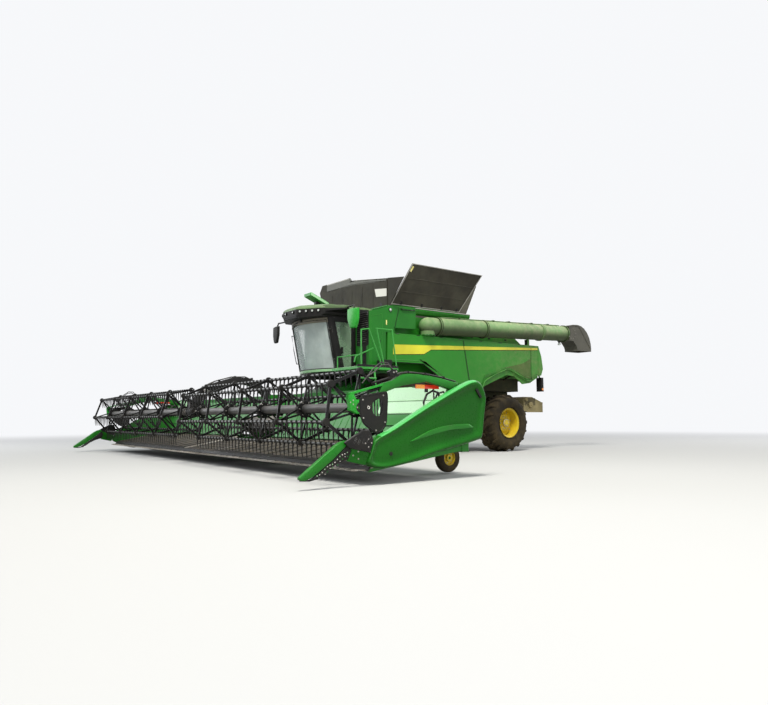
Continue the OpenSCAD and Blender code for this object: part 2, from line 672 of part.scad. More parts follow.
module cab_roof() placed() color(paint_green) {
    nose_y = -2380;
    top_z = cab_roof_z + 340;
    hull() {
        plan_profile([[-330, nose_y], [330, nose_y], [930, -2000], [960, cab_rear],
            [-960, cab_rear], [-930, -2000]], cab_roof_z, cab_roof_z + 40);
        plan_profile([[-350, nose_y - 10], [350, nose_y - 10], [990, -1960], [1010, cab_rear + 20],
            [-1010, cab_rear + 20], [-990, -1960]], cab_roof_z + 60, cab_roof_z + 230);
        plan_profile([[-260, nose_y + 160], [260, nose_y + 160], [800, -1850], [860, cab_rear - 20],
            [-860, cab_rear - 20], [-800, -1850]], top_z - 10, top_z);
    }
    // Corners that reach out over the doors and carry the mirrors
    both_sides() hull() {
        block(900, 980, -1980, -1300, cab_roof_z + 120, cab_roof_z + 290);
        block(1400, 1430, -1640, -1500, cab_roof_z + 140, cab_roof_z + 250);
    }
    // Work lamps along the slanted front edges and at the nose
    both_sides() {
        for (f = [0.10, 0.29, 0.46, 0.63, 0.83])
            let (p = [352 + 638 * f, nose_y - 12 + 430 * f, cab_roof_z + 150], out = [0.559, -0.829, 0])
                bar(p - 30 * out, p + 14 * out, 48);
        for (x = [100, 240]) bar([x, nose_y + 20, cab_roof_z + 150], [x, nose_y - 22, cab_roof_z + 150], 48);
    }
    // Satellite receiver on its post
    block(-60, 60, -1640, -1500, top_z - 20, top_z + 180);
    side_profile([[-1880, top_z + 310], [-1880, top_z + 390], [-1840, top_z + 402],
        [-1310, top_z + 180], [-1280, top_z + 130], [-1400, top_z + 110]], -170, 170);
}

module cab_mirrors() placed() both_sides() {
    arm_z = cab_roof_z + 190;
    color(dark_steel) {
        bar([1436, -1574, arm_z], [1900, -1700, arm_z - 20], 22);
        bar([1900, -1700, arm_z - 20], [1945, -1730, 3560], 18);
    }
    color(paint_green) translate([1945, -1745, 0]) rotate([0, 0, 8])
        front_profile([[-190, 3580], [190, 3580], [190, 3330], [110, 3110], [-90, 3110], [-190, 3330]],
            -45, 35);
}

module operator_seat() placed() color(dark_steel) {
    block(-170, 170, -1050, -750, cab_floor_z, 2420);
    block(-260, 260, -1180, -640, 2420, 2560);
    side_profile([[-760, 2560], [-640, 2560], [-560, 3180], [-660, 3180]], -250, 250);
    block(270, 360, -1150, -700, 2640, 2700);
    block(-420, -270, -1250, -700, 2640, 2720);
    block(260, 290, -800, -740, 2500, 2640);
    block(-300, -260, -800, -740, 2500, 2640);
}

module steering_console() placed() color(dark_steel) {
    side_profile([[-1640, cab_floor_z], [-1500, cab_floor_z], [-1440, 2760], [-1500, 2790]], -50, 50);
    translate([0, -1470, 2800]) rotate([30, 0, 0]) {
        rotate_extrude() translate([190, 0]) circle(r = 16, $fn = 16);
        for (a = [90:120:330]) rotate([0, 0, a]) translate([0, -12, -8]) cube([185, 24, 12]);
        translate([0, 0, -30]) cylinder(h = 37, r = 45);
    }
    block(-470, -430, -1300, -1060, 2760, 2990);
    block(-460, -440, -1230, -1190, 2700, 2760);
    block(-460, -420, -1230, -1190, 2690, 2715);
}

platform_z = 2200;
platform_x = 2080;
module platform_ladder() placed() color(paint_green) {
    rail_out = platform_x - 30;
    block(cab_half + 5, platform_x, -1720, -1040, platform_z - 60, platform_z);
    block(body_half + 10, platform_x, -1040, -500, platform_z - 60, platform_z);
    block(cab_beam[1], cab_beam[1] + 60, -1700, -1040, platform_z - 140, platform_z - 60);
    // Hand rails
    for (hoop = [[[-1590, 3070], [-1590, platform_z], [-1370, 3110], [-960, platform_z]],
                 [[-1140, 3130], [-900, platform_z], [-670, 3130], [-530, platform_z]]]) {
        bar([rail_out, hoop[0][0], hoop[0][1]], [rail_out, hoop[1][0], hoop[1][1] - 10], 18);
        bar([rail_out, hoop[2][0], hoop[2][1]], [rail_out, hoop[3][0], hoop[3][1] - 10], 18);
        bar([rail_out, hoop[0][0], hoop[0][1]], [rail_out, hoop[2][0], hoop[2][1]], 17);
        for (i = [0, 2]) translate([rail_out, hoop[i][0], hoop[i][1]]) sphere(r = 20, $fn = 16);
    }
    bar([rail_out, -1590, 2480], [1100, -1640, 2480], 14);
    bar([1100, -1640, platform_z - 10], [1100, -1640, 2490], 14);
    // Ladder in front of the tyre
    for (y = [-1690, -1200]) bar([platform_x - 40, y, platform_z - 30], [platform_x + 160, y, 480], 22);
    for (i = [0:4]) let (f = (i + 0.75) / 5.1, x = platform_x - 40 + 200 * f,
            z = platform_z - 30 - (platform_z - 510) * f)
        block(x - 60, x + 60, -1690, -1200, z - 15, z + 15);
}

// Unloading auger

auger_base_z = deck_z + 70;
elbow_r = 235;
module auger_frame() placed() translate([auger_x, auger_y, auger_z])
    rotate([auger_rise, 0, 0]) children();

module auger_elbow() placed() color(paint_green) difference() {
    union() {
        translate([auger_x, auger_y, auger_z]) sphere(r = elbow_r);
        translate([auger_x, auger_y, auger_base_z]) cylinder(h = auger_z - auger_base_z, r = 190);
        translate([auger_x, auger_y, auger_z]) rotate([-90 + auger_rise, 0, 0])
            cylinder(h = 290, r = auger_d / 2 - 5);
    }
    translate([auger_x, auger_y, auger_base_z - 1]) cylinder(h = 110, r = 60 + pin_gap);
}

module auger_tube() auger_frame() color(paint_green) rotate([-90, 0, 0]) difference() {
    union() {
        translate([0, 0, 290]) cylinder(h = auger_l - 290, r = auger_d / 2);
        for (f = [[290, 30], [0.36 * auger_l, 36], [0.79 * auger_l, 36], [auger_l - 40, 40]])
            translate([0, 0, f[0]]) cylinder(h = f[1], r = auger_d / 2 + 22);
    }
    translate([0, 0, 330]) cylinder(h = auger_l, r = auger_d / 2 - 12);
}

// The spout hangs from the end of the tube and points down and back.
module auger_spout() placed() color(flap_grey) difference() {
    y = auger_end[1];
    z = auger_end[2];
    lean = tan(auger_rise);
    hood = [y + 420, z - 450];
    side_profile(concat([[y + 230 * lean, z - 230], [y - 235 * lean, z + 235], [y + 170, z + 275]],
        [for (a = [90:-15:0]) [hood[0] + (spout_end_y - hood[0]) * cos(a), hood[1] + 740 * sin(a)]],
        [[spout_end_y - 20, z - 520], [y + 390, z - 530], [y + 330, z - 390], [y + 190, z - 250]]),
        auger_x - 245, auger_x + 245);
    side_profile(concat([[y - 20, z - 200], [y - 20, z + 205], [y + 180, z + 245]],
        [for (a = [90:-15:0]) [hood[0] + (spout_end_y - 25 - hood[0]) * cos(a), hood[1] + 710 * sin(a)]],
        [[spout_end_y - 40, z - 560], [y + 420, z - 560], [y + 360, z - 380], [y + 210, z - 225]]),
        auger_x - 225, auger_x + 225);
}

// Feeder house and its lift cylinders

feeder_face_y = -2550;
module feeder_house() placed() color(paint_green) difference() {
    union() {
        x_round(-feeder_half, feeder_half, lift_y, lift_z, 290);
        side_profile([[lift_y, lift_z + 288], [feeder_face_y, 1330], [feeder_face_y, 500],
            [lift_y, lift_z - 288]], -feeder_half, feeder_half);
        x_round(-trunnion_plate[1] - 20, trunnion_plate[1] + 20, lift_y, lift_z, trunnion_r);
        // Front plate that the header hangs on
        block(-1000, 1000, feeder_face_y - 60, feeder_face_y, 440, 1400);
        both_sides() for (x = [lift_x - 60, lift_x + 40])
            side_profile([[lift_head[0] - 60, lift_head[1] + 160], [lift_head[0] - 60, lift_head[1] - 45],
                [lift_head[0] + 60, lift_head[1] - 45], [lift_head[0] + 60, lift_head[1] + 160]],
                x, x + 20);
        both_sides() x_round(lift_x - 60, lift_x + 60, lift_head[0], lift_head[1], lift_head_pin_r);
    }
    // Mouth of the feeder house
    side_profile([[feeder_face_y - 70, 560], [feeder_face_y - 70, 1270], [feeder_face_y, 1270],
        [-900, 1800], [-900, 1290], [feeder_face_y, 560]], -feeder_half + 40, feeder_half - 40);
}

lift_l = norm([lift_head[0] - lift_foot[0], lift_head[1] - lift_foot[1]]);
lift_angle = atan2(lift_head[1] - lift_foot[1], lift_foot[0] - lift_head[0]);
// Along a lift cylinder: +Z runs from the foot to the head
module along_lift() placed() both_sides() translate([lift_x, lift_foot[0], lift_foot[1]])
    rotate([90 - lift_angle, 0, 0]) children();

module lift_barrels() along_lift() color(dark_steel) difference() {
    union() {
        rotate([0, 90, 0]) translate([0, 0, -40]) cylinder(h = 80, r = 50);
        translate([-40, -40, 0]) cube([80, 80, 80]);
        translate([0, 0, 75]) cylinder(h = 1175, r = 55);
    }
    rotate([0, 90, 0]) translate([0, 0, -45]) cylinder(h = 90, r = lift_pin_r + pin_gap);
    translate([0, 0, 120]) cylinder(h = 1200, r = 35 + pin_gap);
}

module lift_rods() along_lift() color(grey_steel) difference() {
    union() {
        translate([0, 0, 700]) cylinder(h = lift_l - 700, r = 35);
        translate([0, 0, lift_l]) rotate([0, 90, 0]) translate([0, 0, -34]) cylinder(h = 68, r = 50);
    }
    translate([0, 0, lift_l]) rotate([0, 90, 0]) translate([0, 0, -45])
        cylinder(h = 90, r = lift_pin_r + pin_gap);
}

// Header

header_in = header_half - shield_t;
frame_posts = [for (i = [0:5]) 950 + i * (header_in - 990) / 5];
top_beam = [-2800, -2650, 1400, 1550];
low_beam = [-2850, -2700, 420, 570];
deck_slope = 0.173;
function deck_under_z(y) = 560 + deck_slope * (y - low_beam[0]);

// Two beams with posts between them; sheets, deck arms and adapter seat on their faces
module header_frame() placed() color(paint_green) {
    sheet_low_z = deck_under_z(sheet_y) + 80;
    sheet_rear_y = top_beam[0] - seat_gap;
    block(-header_in, header_in, top_beam[0], top_beam[1], top_beam[2], top_beam[3]);
    block(-header_in, header_in, low_beam[0], low_beam[1], low_beam[2], low_beam[3]);
    both_sides() {
        side_profile([[sheet_y, sheet_low_z], [sheet_rear_y - 14, sheet_top_z],
            [sheet_rear_y, sheet_top_z], [sheet_y + 14, sheet_low_z]], feed_half, header_in);
        for (x = frame_posts) {
            block(x - 40, x + 40, top_beam[0] + 20, top_beam[1] - 20, low_beam[3] + seat_gap,
                top_beam[2] - seat_gap);
            side_profile([[low_beam[0] - seat_gap, deck_under_z(low_beam[0]) - seat_gap],
                [knife_y + 100, deck_under_z(knife_y + 100) - seat_gap],
                [knife_y + 100, deck_under_z(knife_y + 100) - 50],
                [low_beam[0] - seat_gap, low_beam[2] + 20]], x - 30, x + 30);
        }
        // Adapter to the feeder house and drum plates
        block(feed_half - 10, 1000, low_beam[1] + seat_gap, feeder_face_y - 60, low_beam[3] - 60,
            top_beam[2] - seat_gap);
        side_profile([[drum_y - 160, drum_z - 160], [drum_y - 160, drum_z + 160],
            [low_beam[1] + 20, drum_z + 260], [low_beam[1] + 20, low_beam[3] + seat_gap],
            [low_beam[0] - 20, low_beam[3] + seat_gap]], feed_half - 25, feed_half);
        x_round(feed_half - 80, feed_half - 25, drum_y, drum_z, 30);
        // Brackets of the end reel arms
        side_profile([[arm_pivot[0] - 60, arm_pivot[1] - 70], [arm_pivot[0] - 60, arm_pivot[1] + 60],
            [top_beam[1], top_beam[3] + 20], [top_beam[1], top_beam[2]]], arm_x[0] - 45, arm_x[0] - 15);
        x_round(arm_x[0] - 45, arm_x[1], arm_pivot[0], arm_pivot[1], arm_pin_r);
        // Brackets of the centre reel arm
        side_profile([[arm_pivot[0] - 60, arm_pivot[1] - 70], [arm_pivot[0] - 60, arm_pivot[1] + 60],
            [top_beam[1], top_beam[3] + 20], [top_beam[1], top_beam[2]]], 75, 105);
        // Gauge wheel legs
        side_profile([[low_beam[0], low_beam[2]], [low_beam[1], low_beam[2]],
            [gauge_y + 50, gauge_z - 40], [gauge_y - 40, gauge_z - 40]], gauge_x - 125, gauge_x - 85);
        x_round(gauge_x - 125, gauge_x + 50, gauge_y, gauge_z, 25);
    }
    x_round(-105, 105, arm_pivot[0], arm_pivot[1], arm_pin_r);
    // Sheet over the feed opening
    side_profile([[top_beam[0] - 150, 1180], [sheet_rear_y - 14, sheet_top_z],
        [sheet_rear_y, sheet_top_z], [top_beam[0] - 136, 1180]], -feed_half + 0.5, feed_half - 0.5);
}

module header_decks() placed() color(rubber) {
    front_y = knife_y + 90;
    rear_y = sheet_y - 20;
    both_sides() {
        side_profile([[front_y, deck_under_z(front_y)], [rear_y, deck_under_z(rear_y)],
            [rear_y, deck_under_z(rear_y) + 60], [front_y, deck_under_z(front_y) + 60]],
            feed_half + 30, header_in - 20);
        for (x = [feed_half + 300:450:header_in - 200])
            side_profile([[front_y, deck_under_z(front_y) + 60], [rear_y, deck_under_z(rear_y) + 60],
                [rear_y, deck_under_z(rear_y) + 72], [front_y, deck_under_z(front_y) + 72]], x, x + 20);
    }
    side_profile([[front_y, deck_under_z(front_y)], [drum_y - 240, deck_under_z(drum_y - 240) - 40],
        [drum_y - 240, deck_under_z(drum_y - 240) + 15], [front_y, deck_under_z(front_y) + 50]],
        -feed_half + 30, feed_half - 30);
}

drum_y = -3060;
drum_z = 840;
module feed_drum() placed() color(grey_steel) difference() {
    union() {
        x_round(-feed_half + 60, feed_half - 60, drum_y, drum_z, 150);
        for (i = [0:15]) translate([-760 + 100 * i, drum_y, drum_z]) rotate([i * 67, 0, 0])
            cylinder(h = 210, r = 10);
    }
    x_round(-feed_half - 10, feed_half + 10, drum_y, drum_z, 30 + pin_gap);
}

guard_pitch = 152.4;
module cutter_bar() placed() color(dark_steel) {
    count = floor((header_in - 60) / guard_pitch);
    side_profile([[knife_y, knife_z], [knife_y + 90, knife_z + 4],
        [knife_y + 90, deck_under_z(knife_y + 90) + 50], [knife_y + 60, knife_z + 24],
        [knife_y, knife_z + 12]], -header_in, header_in);
    // Knife guards, as one comb
    plan_profile(concat([[header_in, knife_y + 2], [-header_in, knife_y + 2]],
        [for (i = [-count:count]) let (x = i * guard_pitch)
            each [[x - 26, knife_y], [x - 8, knife_y - 110], [x + 8, knife_y - 110], [x + 26, knife_y]]]),
        knife_z, knife_z + 12);
    // Knife sections in the gaps between the guards
    plan_profile(concat([[header_in - 20, knife_y + 6], [-header_in + 20, knife_y + 6]],
        [for (i = [-count:count - 1]) let (x = (i + 0.5) * guard_pitch)
            each [[x - 36, knife_y - 3], [x - 7, knife_y - 62], [x + 7, knife_y - 62],
                [x + 36, knife_y - 3]]]), knife_z + 5, knife_z + 9);
}

// End shields and crop dividers

shield_top = [[-4730, 670], [-4350, 830], [-3950, 1040], [-3440, 1290], [-2760, 1590], [-2540, 1620],
    [-2420, 1490], [-2360, 1300], [-2380, 1200], [-2470, 620]];
shield_low = [[-2540, 610], [-2900, 530], [-3560, 420], [-4010, 300], [-4570, 230], [-4870, 300],
    [-4790, 480]];
arrow_line = [[-3960, 600], [-3180, 780], [-2640, 800], [-2750, 880], [-3260, 850]];

// A moulded shield: stepped rim, a hollow that runs along below its top edge, and an arrow
module end_shield(side) placed() on_side(side) color(paint_green) {
    hollow_r = 700;
    hollow_x = header_half - 15 + hollow_r - hollow_depth;
    difference() {
        union() {
            side_profile(concat(shield_top, shield_low), header_in, header_half - 40);
            side_profile([for (p = concat(shield_top, shield_low)) [-3550 + 0.975 * (p[0] + 3550),
                860 + 0.955 * (p[1] - 860)]], header_half - 41, header_half - 15);
        }
        bar([hollow_x, -5150, 150], [hollow_x, -1950, 1690], hollow_r);
    }
    side_profile(arrow_line, header_half - 20 - hollow_depth, header_half);
    // Long pointed divider
    side_profile([[tip_y, tip_z], [tip_y + 40, tip_z - 5], [tip_y + 300, 190], [tip_y + 800, 620],
        [tip_y + 770, 690], [tip_y + 670, 640]], header_half - 110, header_half - 50);
    side_profile([[tip_y + 300, 190], [tip_y + 780, 380], [-4870, 300], [-4790, 480], [tip_y + 800, 620]],
        header_half - 90, header_half - 50);
}
module end_shield_left() end_shield(1);
module end_shield_right() end_shield(-1);

module divider_plates() placed() both_sides() color(dark_steel)
    side_profile([[-5250, 640], [-4930, 810], [-4800, 800], [-4730, 670], [-4790, 480], [-5170, 560]],
        header_half - 50, header_half - 20);

gauge_x = header_half - 910;
gauge_y = -2480;
gauge_z = 275;
module gauge_wheel(side) placed() on_side(side)
    translate([gauge_x, gauge_y, gauge_z]) rotate([0, 90, 0]) difference() {
        union() {
            color(rubber) rotate_extrude() polygon([[130, -60], [220, -75], [250, -50], [255, 0],
                [250, 50], [220, 75], [130, 60]]);
            color(paint_yellow) translate([0, 0, -55]) cylinder(h = 110, r = 131);
        }
        translate([0, 0, -80]) cylinder(h = 160, r = 25 + pin_gap);
    }
module gauge_wheel_left() gauge_wheel(1);
module gauge_wheel_right() gauge_wheel(-1);

// Reel

arm_pivot = [-2950, 1500];
arm_pin_r = 28;
arm_x = [header_in - 125, header_in - 25];
reel_stub_r = 40;
reel_end_x = arm_x[0] - 20;

// End arms: each ends in the carriage of the reel shaft and carries the dark end plate
module reel_arms() placed() both_sides() color(paint_green) difference() {
    union() {
        side_profile([[-2880, 1450], [-2890, 1560], [-3260, 1625], [-3770, 1675], [-4050, 1665],
            [-4260, 1560], [-4700, 1460], [-5050, 1365], [reel_y - 215, reel_z + 190],
            [reel_y - 190, reel_z - 50], [reel_y - 60, reel_z - 100], [reel_y + 60, reel_z - 100],
            [reel_y + 90, reel_z + 100], [-4520, 1320], [-4360, 1390], [-4080, 1480],
            [-3580, 1560], [-3030, 1440]], arm_x[0], arm_x[1]);
        side_profile([[-4900, 1310], [-4390, 1400], [-4360, 1330], [-4390, 880], [-4550, 730],
            [-4640, 760], [-4840, 900], [-4900, 1060]], arm_x[1] - 2, arm_x[1] + 12);
        x_round(arm_x[1] + 10, arm_x[1] + 17, -4735, reel_z, 22);
    }
    x_round(arm_x[0] - 5, arm_x[1] + 5, arm_pivot[0], arm_pivot[1], arm_pin_r + pin_gap);
    x_round(arm_x[0] - 5, arm_x[1] + 5, reel_y, reel_z, reel_stub_r + pin_gap);
    // Slot in the end plate
    for (z = [1110, 1180]) x_round(arm_x[1] - 5, arm_x[1] + 20, -4560, z, 105);
    block(arm_x[1] - 5, arm_x[1] + 20, -4665, -4455, 1110, 1180);
}

module reel_centre_arm() placed() color(dark_steel) difference() {
    union() {
        side_profile([[-2880, 1440], [-2900, 1570], [-3220, 1840], [-3540, 1960], [-3930, 1960],
            [-4640, 1740], [reel_y - 90, reel_z + 230], [reel_y - 110, reel_z - 60],
            [reel_y - 50, reel_z - 110], [reel_y + 60, reel_z - 110], [reel_y + 120, reel_z],
            [-4560, 1500], [-4420, 1610], [-3900, 1800], [-3560, 1790], [-3250, 1650],
            [-3060, 1450]], -60, 60);
        x_round(-190, 190, reel_y, reel_z, 110);
    }
    x_round(-70, 70, arm_pivot[0], arm_pivot[1], arm_pin_r + pin_gap);
    x_round(-200, 200, reel_y, reel_z, reel_stub_r + pin_gap);
}

bat_r = 24;
reel_in_x = 440;
// A comb of tines below its bat, as one flat plate in the X-Z plane
module tine_comb() {
    length = reel_end_x - reel_in_x - 60;
    count = floor(length / tine_pitch);
    rotate([90, 0, 0]) translate([reel_in_x + 30, 0, -5]) linear_extrude(10)
        polygon(concat([[length, 10], [0, 10]], [for (i = [0:count - 1])
            let (x = (i + 0.5) * length / count)
            each [[x - 16, -20], [x - 5, -tine_l], [x + 5, -tine_l], [x + 16, -20]]], [[length, -20]]));
}

spider_pitch = (reel_end_x - reel_in_x - 175) / (spiders - 1);
module reel(side, phase) placed() on_side(side) translate([0, reel_y, reel_z]) {
    color(grey_steel) {
        rotate([0, 90, 0]) translate([0, 0, reel_in_x]) cylinder(h = reel_end_x - reel_in_x, r = shaft_r);
        rotate([0, 90, 0]) translate([0, 0, 5]) cylinder(h = reel_in_x - 5, r = reel_stub_r);
        rotate([0, 90, 0]) translate([0, 0, reel_end_x]) cylinder(h = arm_x[1] - reel_end_x, r = reel_stub_r);
    }
    color(dark_steel) {
        for (k = [0:spiders - 1]) translate([reel_end_x - 20 - k * spider_pitch, 0, 0])
            rotate([0, 90, 0]) rotate([0, 0, 180]) linear_extrude(16) difference() {
                union() {
                    circle(r = 150);
                    difference() {
                        rotate(phase) circle(r = reel_r + 20, $fn = bats);
                        rotate(phase) circle(r = reel_r - 45, $fn = bats);
                    }
                    for (b = [0:bats - 1]) rotate(phase + b * 360 / bats)
                        translate([0, -28]) square([reel_r, 56]);
                }
                circle(r = shaft_r - 1);
            }
        for (b = [0:bats - 1]) let (a = phase + b * 360 / bats)
            translate([0, -reel_r * sin(a), reel_r * cos(a)]) {
                rotate([0, 90, 0]) translate([0, 0, reel_in_x + 10])
                    cylinder(h = reel_end_x - reel_in_x - 14, r = bat_r, $fn = 12);
                tine_comb();
            }
    }
}
module reel_left() reel(1, -8);
module reel_right() reel(-1, -19);

chassis_frame();
rear_axle();
knuckle_left();
knuckle_right();
front_rim_left();
front_tyre_left();
front_rim_right();
front_tyre_right();
rear_rim_left();
rear_tyre_left();
rear_rim_right();
rear_tyre_right();
threshing_housing();
engine_block();
engine_deck();
cooling_screen();
panel_front_left();
panel_rear_left();
panel_front_right();
panel_rear_right();
rear_hood();
straw_chopper();
spreader_disc_left();
spreader_disc_right();
grain_tank();
tank_corner_sheets();
flap_left();
flap_right();
flap_front();
flap_rear();
front_towers();
cab_frame();
cab_roof();
cab_windows();
cab_door();
door_glass();
operator_seat();
steering_console();
cab_mirrors();
platform_ladder();
auger_elbow();
auger_tube();
auger_spout();
feeder_house();
lift_barrels();
lift_rods();
header_frame();
header_decks();
feed_drum();
cutter_bar();
end_shield_left();
end_shield_right();
divider_plates();
gauge_wheel_left();
gauge_wheel_right();
reel_arms();
reel_centre_arm();
reel_left();
reel_right();
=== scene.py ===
# Combine harvester with a draper header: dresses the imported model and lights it.
# Lengths in metres. Y in this file runs from the front axle; FY moves it to the frame.
import bmesh
import bpy
import math
import random
from mathutils import Matrix, Vector


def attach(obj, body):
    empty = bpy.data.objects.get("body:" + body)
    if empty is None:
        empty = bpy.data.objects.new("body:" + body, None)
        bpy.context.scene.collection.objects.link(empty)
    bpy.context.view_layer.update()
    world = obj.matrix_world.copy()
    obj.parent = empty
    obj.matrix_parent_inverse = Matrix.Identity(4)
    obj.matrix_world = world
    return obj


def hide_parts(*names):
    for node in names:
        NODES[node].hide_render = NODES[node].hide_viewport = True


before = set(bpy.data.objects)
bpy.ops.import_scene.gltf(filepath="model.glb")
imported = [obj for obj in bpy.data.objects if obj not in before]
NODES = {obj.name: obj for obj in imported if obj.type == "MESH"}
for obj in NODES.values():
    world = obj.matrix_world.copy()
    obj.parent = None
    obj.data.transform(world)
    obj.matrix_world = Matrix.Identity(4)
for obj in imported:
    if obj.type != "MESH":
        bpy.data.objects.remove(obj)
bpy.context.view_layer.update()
FY = -0.853093
X, Y, Z = (1, 0, 0), (0, 1, 0), (0, 0, 1)
SIDES = ((1, "left"), (-1, "right"))
rng = random.Random(7)


# Node trees
class Nodes:
    """A little help to write a node tree."""

    def __init__(self, tree):
        self.t = tree

    def put(self, socket, v):
        if isinstance(v, bpy.types.NodeSocket):
            self.t.links.new(v, socket)
        else:
            socket.default_value = v

    def fill(self, node, **inputs):
        for k, v in inputs.items():
            self.put(node.inputs[k.replace("_", " ")], v)

    def add(self, kind, **inputs):
        n = self.t.nodes.new(kind)
        self.fill(n, **inputs)
        return n

    def math(self, op, a, b, clamp=False, kind="ShaderNodeMath"):
        n = self.t.nodes.new(kind)
        n.operation = op
        if clamp:
            n.use_clamp = True
        self.put(n.inputs[0], a)
        self.put(n.inputs[1], b)
        return n.outputs["Value"]

    def ramp(self, v, lo, hi, to_lo=0.0, to_hi=1.0):
        n = self.t.nodes.new("ShaderNodeMapRange")
        n.interpolation_type = "SMOOTHSTEP"
        for k, x in enumerate((v, lo, hi, to_lo, to_hi)):
            self.put(n.inputs[k], x)
        return n.outputs[0]

    def mix(self, f, a, b):
        n = self.t.nodes.new("ShaderNodeMix")
        n.data_type = "RGBA"
        for k, x in ((0, f), (6, a), (7, b)):
            self.put(n.inputs[k], x)
        return n.outputs[2]

    def noise(self, vec, scale, detail=3.0, rough=0.55):
        n = self.add("ShaderNodeTexNoise", Vector=vec, Scale=scale, Detail=detail, Roughness=rough)
        return n.outputs["Fac"]

    def bevel(self, radius, samples):
        n = self.add("ShaderNodeBevel", Radius=radius)
        n.samples = samples
        return n.outputs[0]

    def bump(self, height, strength, distance, normal):
        n = self.add("ShaderNodeBump", Strength=strength, Distance=distance, Height=height)
        if normal is not None:
            self.put(n.inputs["Normal"], normal)
        return n.outputs[0]


MATS = {}


def new_material(name):
    m = bpy.data.materials.new(name)
    m.use_nodes = True
    MATS[name] = m
    return Nodes(m.node_tree), m.node_tree.nodes["Principled BSDF"]


def rgba(c):
    return (*c, 1.0)


def link(ob):
    bpy.context.scene.collection.objects.link(ob)
    return ob


# Camera, floor and light
PHOTO_WIDTH, FOCAL_PIXELS, SENSOR = 768, 658.403, 36
CAMERA_TURN = (53.091, 5.638, -0.28)
CAMERA_PLACE = (14.763, -10.464 + FY, 0.991)
BACKDROP = (0.93, 0.94, 0.96, 1)
SKY_LIGHT = (0.86, 0.92, 1.0, 1)
SKY_STRENGTH = 0.50
FLOOR_HALF = 150
FLOOR_LIT, FLOOR_SEEN = (0.42, 0.41, 0.37, 1), (0.50, 0.495, 0.48, 1)
FADE_NEAR, FADE_FAR = 9.0, 34.0


def make_camera():
    """The photo's camera."""
    yaw, pitch, roll = (math.radians(a) for a in CAMERA_TURN)
    fwd = Vector((-math.sin(yaw) * math.cos(pitch), math.cos(yaw) * math.cos(pitch), math.sin(pitch)))
    right = Vector((math.cos(yaw), math.sin(yaw), 0))
    up = right.cross(fwd)
    rolled_right = math.cos(roll) * right + math.sin(roll) * up
    rolled_up = -math.sin(roll) * right + math.cos(roll) * up
    cam = link(bpy.data.objects.new("camera", bpy.data.cameras.new("camera")))
    cam.data.sensor_width = SENSOR
    cam.data.lens = SENSOR * FOCAL_PIXELS / PHOTO_WIDTH
    cam.data.clip_start, cam.data.clip_end = 0.1, 400
    m = Matrix((rolled_right, rolled_up, -fwd)).transposed().to_4x4()
    m.translation = Vector(CAMERA_PLACE)
    cam.matrix_world = m
    bpy.context.scene.camera = cam


def area_light(name, place, target, size, power, colour=(1, 1, 1)):
    data = bpy.data.lights.new(name, "AREA")
    data.shape, data.size, data.energy, data.color = "DISK", size, power, colour
    ob = link(bpy.data.objects.new(name, data))
    ob.location = place
    ob.rotation_mode = "QUATERNION"
    ob.rotation_quaternion = (Vector(target) - Vector(place)).to_track_quat("-Z", "Y")


def seen_rays(nodes):
    """1 for rays that show the background: camera, gloss and glass."""
    path = nodes.add("ShaderNodeLightPath")
    value = path.outputs["Is Camera Ray"]
    for name in ("Is Glossy Ray", "Is Transmission Ray"):
        value = nodes.math("MAXIMUM", value, path.outputs[name])
    return value


def make_world():
    world = bpy.data.worlds.new("studio")
    bpy.context.scene.world = world
    world.use_nodes = True
    world.node_tree.nodes.clear()
    N = Nodes(world.node_tree)
    lit = N.add("ShaderNodeBackground", Color=SKY_LIGHT, Strength=SKY_STRENGTH)
    seen = N.add("ShaderNodeBackground", Color=BACKDROP, Strength=1.0)
    mix = N.add("ShaderNodeMixShader")
    for socket, source in zip(mix.inputs, (seen_rays(N), lit.outputs[0], seen.outputs[0])):
        N.put(socket, source)
    N.add("ShaderNodeOutputWorld", Surface=mix.outputs[0])


def make_stage():
    me = bpy.data.meshes.new("floor")
    s = FLOOR_HALF
    me.from_pydata([(-s, -s, 0), (s, -s, 0), (s, s, 0), (-s, s, 0)], [], [(0, 1, 2, 3)])
    floor = link(bpy.data.objects.new("floor", me))
    N, b = new_material("floor_pale")
    seen = seen_rays(N)
    near = N.mix(seen, FLOOR_LIT, FLOOR_SEEN)
    # Far away the floor takes the backdrop's colour
    place = N.add("ShaderNodeTexCoord").outputs["Object"]
    away = N.math("LENGTH", place, (0, 0, 0), kind="ShaderNodeVectorMath")
    far = N.ramp(away, FADE_NEAR, FADE_FAR)
    N.fill(b, Base_Color=N.mix(far, near, (0, 0, 0, 1)), Emission_Color=BACKDROP,
           Emission_Strength=N.math("MULTIPLY", far, seen), Specular_IOR_Level=0.0, Roughness=0.9)
    floor.data.materials.append(MATS["floor_pale"])
    area_light("key", (11, -9, 21), (0, -1.5, 1.2), 8, 6400, (1, 0.98, 0.92))
    area_light("fill", (-15, -14, 9), (0, -1, 1.5), 12, 1300, (0.93, 0.96, 1))
    area_light("side", (22, -10, 5), (0, -1, 1.5), 9, 1100)
    area_light("rim", (6, 20, 14), (0, 1, 1.5), 10, 2000)


# Materials
DUST = (0.33, 0.25, 0.15)


